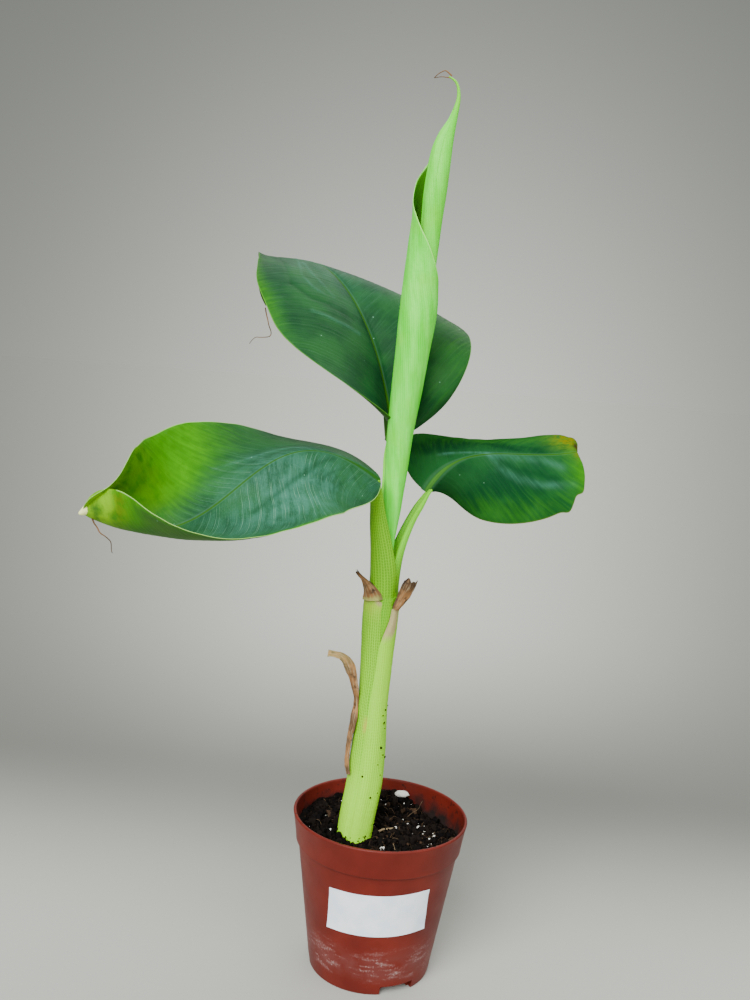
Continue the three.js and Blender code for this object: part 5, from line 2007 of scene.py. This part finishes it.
@dataclass
class RolledLeaf:
    """The newest leaf: a rolled spindle, the inner turn that stands out of it
    and ends in a fine tip, and the loose outer turn with its free margin."""

    spindle: tuple = (
        (-8.1, 0.2, 196.3, 2.8),
        (-7.4, 0.8, 225, 3.2),
        (-7.0, 0.8, 240, 4.5),
        (-6.6, 0.5, 255, 5.4),
        (-5.8, 0, 280, 6.6),
        (-4.2, 0, 305, 7.9),
        (-2.9, 0, 322, 8.6),
        (-2, 0, 338, 9.1),
        (-2, 0, 349, 9.3),
    )
    inner_turn: tuple = (
        (-1, 0, 338, 4.8),
        (0.6, 0, 376, 5),
        (1.3, 0, 394, 5.6),
        (2.5, 0, 411, 5.2),
        (4.2, 0, 420, 4),
        (6.8, 0, 428.5, 2.1),
        (8.6, 0, 437, 1.05),
        (8.3, 0, 442.5, 0.7),
        (6.6, 0, 446, 0.55),
        (3.3, 0, 448, 0.3),
    )
    outer_turn: tuple = (
        (-2.9, 0, 322, 8.6),
        (-2, 0, 338, 9.1),
        (-2, 0, 352, 8.6),
        (-1.5, 0, 370, 8),
        (-1.1, 0, 385, 7.5),
        (-0.6, 0, 395, 7.5),
        (-0.2, 0, 404, 7.4),
        (0.4, 0, 414, 6.8),
    )
    margin_from: tuple[float, float] = (350, 90)
    margin_to: tuple[float, float] = (414, -172)
    back_angle: float = -215
    thickness: float = 0.5
    edge_thickness: float = 0.2
    mean_radius: float = 8
    body_head: float = 345
    outer_foot: float = 324
    outer_head: float = 414
    seam_turn: float = 5.2
    seam_depth: float = 0.35
    no_margin: float = 9
    body_grid: tuple[int, int] = (230, 100)
    inner_grid: tuple[int, int] = (240, 64)
    outer_grid: tuple[int, int] = (190, 104)

    def relief(self, points: Array) -> Array:
        """Soft unevenness of the roll, in millimetres."""
        return 0.1 * Ripple(9, 301).at(points, (1, 1, 4)) + 0.02 * Ripple(2, 302).at(points)

    def body(self) -> Surface:
        """The closed roll below."""
        rows, columns = self.body_grid
        heights = np.linspace(self.spindle[0][2], self.body_head, rows)
        turns = self.back_angle + np.linspace(0, 360, columns, endpoint=False)
        turn = np.broadcast_to(turns, (rows, columns))
        even = level_rings(self.spindle, heights, turn, np.zeros_like(turn))
        drawn_in = 0.6 * smooth(heights, 335, 339) + 1.8 * smooth(heights, 337, self.body_head)
        lift = self.relief(even) - drawn_in[:, None]
        marks = {
            "along": np.broadcast_to(heights[:, None], turn.shape),
            "turn": np.radians(turn) * self.mean_radius,
            "rim": np.full(turn.shape, self.no_margin),
        }
        return limb(level_rings(self.spindle, heights, turn, lift), marks)

    def inner(self) -> Surface:
        """The inner turn, a flattened tube that draws out to a fine tip."""
        rows, sides = self.inner_grid
        found = through(self.inner_turn, np.linspace(0, len(self.inner_turn) - 1, rows))
        path, radius = found[:, :3], found[:, 3]
        heading = unit(np.gradient(path, axis=0))
        right = unit(np.cross(heading, [0, -1.0, 0]))
        ahead = np.cross(right, heading)
        angle = np.arange(sides) * FULL_TURN / sides
        flat = 1 - 0.25 * smooth(path[:, 2], 400, 420) * (1 - smooth(path[:, 2], 425, 436))
        wide = radius[:, None] * np.sin(angle)
        deep = (radius * flat)[:, None] * np.cos(angle)
        seam = self.seam_depth * bell(angle - self.seam_turn, 0.25) * (radius[:, None] > 1.5)
        rings = path[:, None] + wide[..., None] * right[:, None] + deep[..., None] * ahead[:, None]
        out = unit(rings - path[:, None])
        rings = rings + out * (self.relief(rings) * smooth(radius, 1, 4)[:, None] - seam)[..., None]
        along = np.broadcast_to(path[:, 2:3], (len(path), sides))
        marks = {
            "along": along,
            "turn": np.broadcast_to(angle * 5, along.shape),
            "rim": np.full(along.shape, self.no_margin),
            "ripe": 0.15 + 0.6 * smooth(along, 428, 446),
        }
        return limb(rings, marks)

    def margin_angle(self, heights: Array) -> Array:
        """Where the free margin is at each height, in degrees."""
        (low, first), (high, last) = self.margin_from, self.margin_to
        share = np.clip((heights - low) / (high - low), 0, 1)
        return first + (last - first) * share

    def outer(self) -> Surface:
        """The loose outer turn."""
        rows, columns = self.outer_grid
        heights = np.linspace(self.outer_foot, self.outer_head, rows)
        margin = self.margin_angle(heights) + 3 * Ripple(22, 304).at(points_at(heights, 0))
        share = np.linspace(0, 1, columns)
        turn = self.back_angle + (margin[:, None] - self.back_angle) * share
        start = smooth(heights, self.outer_foot, self.outer_foot + 4)[:, None]
        flare = 0.8 * bell(margin[:, None] - turn, 26) * smooth(heights, 356, 372)[:, None]
        plain = level_rings(self.outer_turn, heights, turn, 0 * turn)
        lift = self.relief(plain) + flare + 0.08 * start - 0.06
        _, _, radius = at_height(self.outer_turn, heights)
        rim = (margin[:, None] - turn) * math.pi / 180 * radius[:, None]
        rim = np.minimum(rim, (self.outer_head - heights)[:, None] + 0.05)
        thick = self.edge_thickness + (self.thickness - self.edge_thickness) * smooth(rim, 0, 1.5)
        top = level_rings(self.outer_turn, heights, turn, lift)
        bottom = level_rings(self.outer_turn, heights, turn, lift - thick)
        along = np.broadcast_to(heights[:, None], turn.shape)
        marks = {"along": along, "turn": np.radians(turn) * self.mean_radius, "rim": rim}
        body = plate(top, bottom, marks)
        body.marks["inner"] = body.marks["under"]
        return body

    def build(self) -> None:
        """Makes the rolled leaf."""
        whole = merged([self.body(), self.inner(), self.outer()])
        add_piece("rolled_blade", whole, RolledFinish(), ["rolled_leaf"], sharp=75)


# Dead remains ---------------------------------------------------------------


STUMPS = {
    "left": Channel(
        path=((-12.4, -5, 194.8), (-13.2, -5.2, 199.5), (-16.6, -4.8, 202.5), (-21.7, -4, 207.8)),
        outward=((-0.62, -0.78, 0), (-0.7, -0.6, 0.3)),
        width=(12.5, 10.5, 2.4, 0.7),
        depth=(4.4, 3.6, 1.6, 0.6),
        groove=(3.8, 3.2, 1.3, 0.3),
        horn=(0.12, 0.6),
    ),
    "right": Channel(
        path=((-1.2, -4.6, 190.6), (0.6, -4.6, 194.5), (2.9, -4, 199), (5.2, -3, 205)),
        outward=((0.7, -0.7, 0), (0.7, -0.6, -0.3)),
        width=(4.5, 6, 10, 10),
        depth=(2, 2.4, 3, 2.6),
        groove=(1.4, 1.6, 2.1, 1.9),
        horn=(0.2, 0.3),
    ),
}


@dataclass
class Stumps:
    """The brown stumps of the first leaves, torn off above the stem."""

    rows: int = 70
    columns: int = 60
    tear: float = 0.8
    freshness: dict[str, float] = field(default_factory=lambda: {"left": 0.8, "right": 0.2})

    def relief(self, seed: int) -> Callable[[Array, Array], Array]:
        """Crumpled dry tissue for one stump."""

        def lift(along: Array, turn: Array) -> Array:
            """Millimetres out at each place."""
            flat = points_at(turn, 0, along)
            large = 0.35 * Ripple(5, seed).at(flat, (1, 1, 2))
            small = 0.15 * Ripple(1.6, seed + 1).at(flat, (1, 1, 3))
            return (large + small) * smooth(along, 0, 3)

        return lift

    def build(self) -> None:
        """Makes the stumps."""
        for i, (name, channel) in enumerate(STUMPS.items()):
            seed = 410 + 10 * i
            body = channel.sheet(np.linspace(0, 1, self.rows), self.columns, self.relief(seed))
            along = body.marks["along"]
            torn = Ripple(3.2, seed + 2).at(points_at(body.marks["turn"], 0))
            heading = bezier_heading(channel.path, np.array([1.0]))[0]
            near_end = smooth(along, along.max() * 0.5, along.max())
            body.points = body.points + (torn * near_end * self.tear)[:, None] * heading
            edge = 1 - smooth(body.marks["rim"], 0, 0.9)
            body.marks["burnt"] = np.clip(near_end**4 * 0.7 + 0.6 * edge, 0, 1)
            body.marks["fresh"] = self.freshness[name] * bell(along, 3)
            add_piece(f"{name}_stump", body, DryFinish(), [f"stump_{name}"])


@dataclass
class Husk:
    """The dry sheath that hangs on the stem's left side."""

    path: tuple = (
        (-17.8, -10.4, 104.5),
        (-18.8, -9.2, 110.5),
        (-19, -8.4, 117),
        (-18.2, -7.6, 124),
        (-17.2, -6.9, 131),
        (-17, -6, 143),
        (-18.8, -6, 152.4),
        (-21.6, -6, 159.4),
        (-26, -6.3, 163.9),
        (-33, -7, 165.4),
    )
    width: tuple = (3.5, 6, 5.5, 4.6)
    outward: tuple = ((-0.95, -0.3, 0.1), (-0.3, -0.4, 0.9))
    length: float = 72
    half_angle: float = 1.25
    thickness: float = 0.36
    rows: int = 130
    columns: int = 26

    def build(self) -> None:
        """Makes the husk."""
        path = through(self.path, np.linspace(0, len(self.path) - 1, self.rows))
        heading = unit(np.gradient(path, axis=0))
        share = np.linspace(0, 1, self.rows)[:, None]
        first, last = (np.array(way) for way in self.outward)
        outward = first * (1 - share) + last * share
        outward = unit(outward - heading * (outward * heading).sum(-1, keepdims=True))
        across = np.cross(heading, outward)
        half = 0.55 * bezier(self.width, share[:, 0])[:, None]
        half = half * (1 + 0.15 * Ripple(9, 401).at(path)[:, None])
        angle = np.linspace(-self.half_angle, self.half_angle, self.columns)[None, :]
        along = self.length * share + 0 * angle
        turn = angle * half
        flat = points_at(turn, 0, along)
        crumple = 0.3 * Ripple(4, 402).at(flat, (1, 1, 3))
        crumple = crumple + 0.12 * Ripple(1.5, 403).at(flat, (1, 1, 2))
        wide = (half * np.sin(angle))[..., None] * across[:, None]
        high = (0.45 * half * np.cos(angle) + crumple - 0.2)[..., None] * outward[:, None]
        middle = path[:, None] + wide + high
        lift = 0.5 * self.thickness * unit(wide * 0.3 + outward[:, None])
        marks = {
            "along": along,
            "turn": turn,
            "burnt": bell(along - 44, 5) * 0.25,
            "cream": smooth(along, 48, self.length) * 0.15,
        }
        add_piece("dry_husk", plate(middle + lift, middle - lift, marks), DryFinish(), ["husk"])


@dataclass(frozen=True)
class Strand:
    """A thin crooked strand through stations, with four radii on its way and
    how cream it is in place of burnt."""

    stations: tuple
    radii: tuple[float, float, float, float] = (0.38, 0.3, 0.22, 0.16)
    cream: float = 0
    rows: int = 60
    sides: int = 12

    def surface(self, seed: int) -> Surface:
        """The strand, with its crooks from a seed."""
        share = np.linspace(0, 1, self.rows)
        path = through(self.stations, share * (len(self.stations) - 1))
        wobble = 0.35 * (Ripple(6, seed).at(path) * share)[:, None]
        marks = {
            "along": 25 * share,
            "turn": 0 * share,
            "burnt": (1 - self.cream) * (0.2 + 0.5 * share),
            "cream": np.full(self.rows, self.cream),
        }
        return tube(path + wobble, bezier(self.radii, share), self.sides, marks)


THREADS = {
    "left": (
        Strand(
            (
                (-137.6, -64, 233),
                (-136.4, -64, 230.8),
                (-132.7, -63, 225.8),
                (-129.3, -62, 222.8),
                (-128.1, -62, 218.2),
            )
        ),
        Strand(
            ((-136, -64, 239.5), (-138.6, -64.2, 237.9), (-141, -64.6, 236), (-143.5, -65, 234.4)),
            radii=(1.2, 3.6, 2.0, 0.6),
            cream=1,
        ),
    ),
    "back": (
        Strand(
            (
                (-92.2, 100.2, 339.4),
                (-90, 100, 331),
                (-88, 100, 323.5),
                (-97, 100, 321.5),
                (-100, 100, 318),
            )
        ),
    ),
    "top": (
        Strand(
            (
                (4.6, 0, 448.4),
                (2.6, 0, 449.9),
                (0.9, 0, 450.4),
                (-1.6, 0, 449),
                (-3.7, 0, 446.9),
            )
        ),
        Strand(((3.6, 0, 447.5), (0, 0, 447.7), (-3.7, 0, 446.9)), radii=(0.24, 0.2, 0.16, 0.14)),
    ),
}


@dataclass
class Threads:
    """The dry threads that hang on at the leaf tips."""

    seed: int = 440

    def build(self) -> None:
        """Makes the threads, each with what grows beside it."""
        for seed, (name, strands) in enumerate(THREADS.items(), self.seed):
            whole = merged([strand.surface(seed) for strand in strands])
            add_piece(f"{name}_thread", whole, DryFinish(), [f"thread_{name}"])


# Studio ---------------------------------------------------------------------


@dataclass(frozen=True)
class Sun:
    """A very soft distant lamp: where it stands, how wide it looks and its power."""

    name: str
    way: tuple[float, float, float]
    width: float
    power: float

    def build(self) -> None:
        """Hangs the lamp."""
        lamp = bpy.data.lights.new(self.name, "SUN")
        lamp.energy = self.power
        lamp.angle = math.radians(self.width)
        holder = bpy.data.objects.new(self.name, lamp)
        bpy.context.scene.collection.objects.link(holder)
        back = unit(np.array(self.way, float))
        right = unit(np.cross([0, 0.01, 1.0], back))
        turned = np.stack([right, np.cross(back, right), back], -1)
        holder.matrix_world = Matrix(turned.tolist()).to_4x4()


@dataclass
class Studio:
    """A pale floor with painted light, soft light and the camera, in metres and degrees."""

    eye: tuple[float, float, float] = (0, -0.5, 0.306)
    pitch: float = 7.1
    roll: float = 4.56
    yaw: float = -1.8
    lens: float = 36.36
    floor_radius: float = 30
    suns: tuple[Sun, ...] = (
        Sun("key_light", (-0.35, -0.9, 0.75), 40, 5.4),
        Sun("fill_light", (0.8, -0.6, 0.5), 60, 1.2),
        Sun("back_light", (0.3, 0.8, 0.9), 50, 1.0),
    )
    sky: tuple[tuple[float, Colour], ...] = (
        (0.0, (0.28, 0.29, 0.26)),
        (0.34, (0.21, 0.22, 0.2)),
        (0.5, (0.36, 0.37, 0.34)),
        (0.75, (0.8, 0.8, 0.78)),
    )
    glow_colour: Colour = (0.71, 0.72, 0.665)
    glow_size: tuple[float, float] = (0.3, 0.42)
    glow_dip: float = 0.2
    glow_front: tuple[float, float] = (-0.05, 0.2)
    glow_foot: tuple[float, float] = (-0.5, -0.23)
    floor_share: float = 0.478
    near_share: float = 0.8
    near_fade: tuple[float, float] = (0.49, 0.76)
    near_limit: tuple[float, float] = (0.6, 6.0)

    def glow(self, g: Graph, way: tuple) -> Socket:
        """A pool of light behind the plant, by the way from the eye; the floor has it painted into
        its colour, and the world shines with it.

        Args:
            g: The nodes to add to.
            way: How far right, ahead and up.

        Returns:
            Its strength, 1 in its middle.
        """
        right, ahead, up = way
        front = g.rise(ahead, *self.glow_front)
        ahead = g.math("MAXIMUM", ahead, 0.05)
        width, tall = self.glow_size
        across = g.times(g.math("DIVIDE", right, ahead), 1 / width)
        steep = g.math("DIVIDE", up, ahead)
        height = g.times(g.add(steep, self.glow_dip), 1 / tall)
        spread = g.add(g.times(across, across), g.times(height, height))
        pool = g.math("POWER", math.e, g.times(spread, -1.0))
        return g.times(g.times(pool, g.rise(steep, *self.glow_foot)), front)

    def floor(self) -> None:
        """A wide, pale floor, with a painted pool of light behind the plant and painted light near
        the eye.
        """
        disc = bmesh.new()
        bmesh.ops.create_circle(disc, cap_ends=True, segments=96, radius=self.floor_radius)
        mesh = bpy.data.meshes.new("studio_floor")
        disc.to_mesh(mesh)
        disc.free()
        piece = bpy.data.objects.new("studio_floor", mesh)
        bpy.context.scene.collection.objects.link(piece)
        g = Graph("studio_floor")
        at = g.node("ShaderNodeTexCoord", {}).outputs["Object"]
        x, y, z = g.node("ShaderNodeSeparateXYZ", {0: at}).outputs
        eye_x, eye_y, eye_z = self.eye
        ahead = g.add(y, -eye_y)
        glow = self.glow(g, (g.add(x, -eye_x), ahead, g.add(z, -eye_z)))
        away = g.add(g.times(x, x), g.times(y, y))
        near_eye = g.fall(ahead, *self.near_fade, self.near_share)
        near = g.times(near_eye, g.fall(away, *self.near_limit))
        glow = g.add(glow, near)
        # Painted light: the floor's colour goes from plain to bright in a pool behind the plant and
        # near the eye.
        bright = tuple(self.floor_share * (a + b) for a, b in zip(self.glow_colour, self.sky[0][1]))
        plain = tuple(self.floor_share * a for a in self.sky[0][1])
        g.feed(g.shader.inputs["Base Color"], g.mix(glow, plain, bright))
        g.feed(g.shader.inputs["Roughness"], 1.0)
        g.feed(g.shader.inputs["Specular IOR Level"], 0.0)
        mesh.materials.append(g.material)

    def world(self) -> None:
        """Soft surrounding light, with a brighter sky overhead."""
        world = bpy.data.worlds.new("studio_world")
        bpy.context.scene.world = world
        g = Graph("studio_world", world)
        way = g.node("ShaderNodeTexCoord", {}).outputs["Generated"]
        parts = g.node("ShaderNodeSeparateXYZ", {0: way}).outputs
        ramp = g.node("ShaderNodeValToRGB", {0: parts[2]})
        stops = ramp.color_ramp.elements
        stops.remove(stops[1])
        stops[0].color = (*self.sky[0][1], 1)
        for height, colour in self.sky[1:]:
            stops.new(height).color = (*colour, 1)
        glow = self.glow(g, tuple(parts))
        whole = g.mix(glow, ramp.outputs["Color"], self.glow_colour, "ADD")
        g.feed(g.shader.inputs["Color"], whole)

    def camera(self) -> None:
        """The camera, a little above the plant's middle and tilted."""
        pitch, roll, yaw = (math.radians(a) for a in (self.pitch, self.roll, self.yaw))
        level = np.array([math.sin(yaw), math.cos(yaw), 0])
        ahead = math.cos(pitch) * level - (0, 0, math.sin(pitch))
        right = np.array([math.cos(yaw), -math.sin(yaw), 0])
        up = np.cross(right, ahead)
        tilted_right = math.cos(roll) * right + math.sin(roll) * up
        tilted_up = -math.sin(roll) * right + math.cos(roll) * up
        turned = Matrix(np.stack([tilted_right, tilted_up, -ahead], -1).tolist()).to_4x4()
        data = bpy.data.cameras.new("camera")
        data.lens = self.lens
        data.clip_start = 0.01
        holder = bpy.data.objects.new("camera", data)
        bpy.context.scene.collection.objects.link(holder)
        holder.matrix_world = Matrix.Translation(self.eye) @ turned
        bpy.context.scene.camera = holder

    def build(self) -> None:
        """Sets up the studio."""
        self.camera()
        self.floor()
        self.world()
        for sun in self.suns:
            sun.build()


def main() -> None:
    """Builds the plant and its studio, in order."""
    logging.basicConfig(level=logging.INFO, format="%(message)s")
    Studio().build()
    pot = NurseryPot()
    pot.build()
    PotLabel(pot).build()
    PottingSoil(pot).build()
    Stem().build()
    Stalks().build()
    for blade in BLADES:
        blade.build()
    RolledLeaf().build()
    Stumps().build()
    Husk().build()
    Threads().build()


if __name__ == "__main__":
    main()
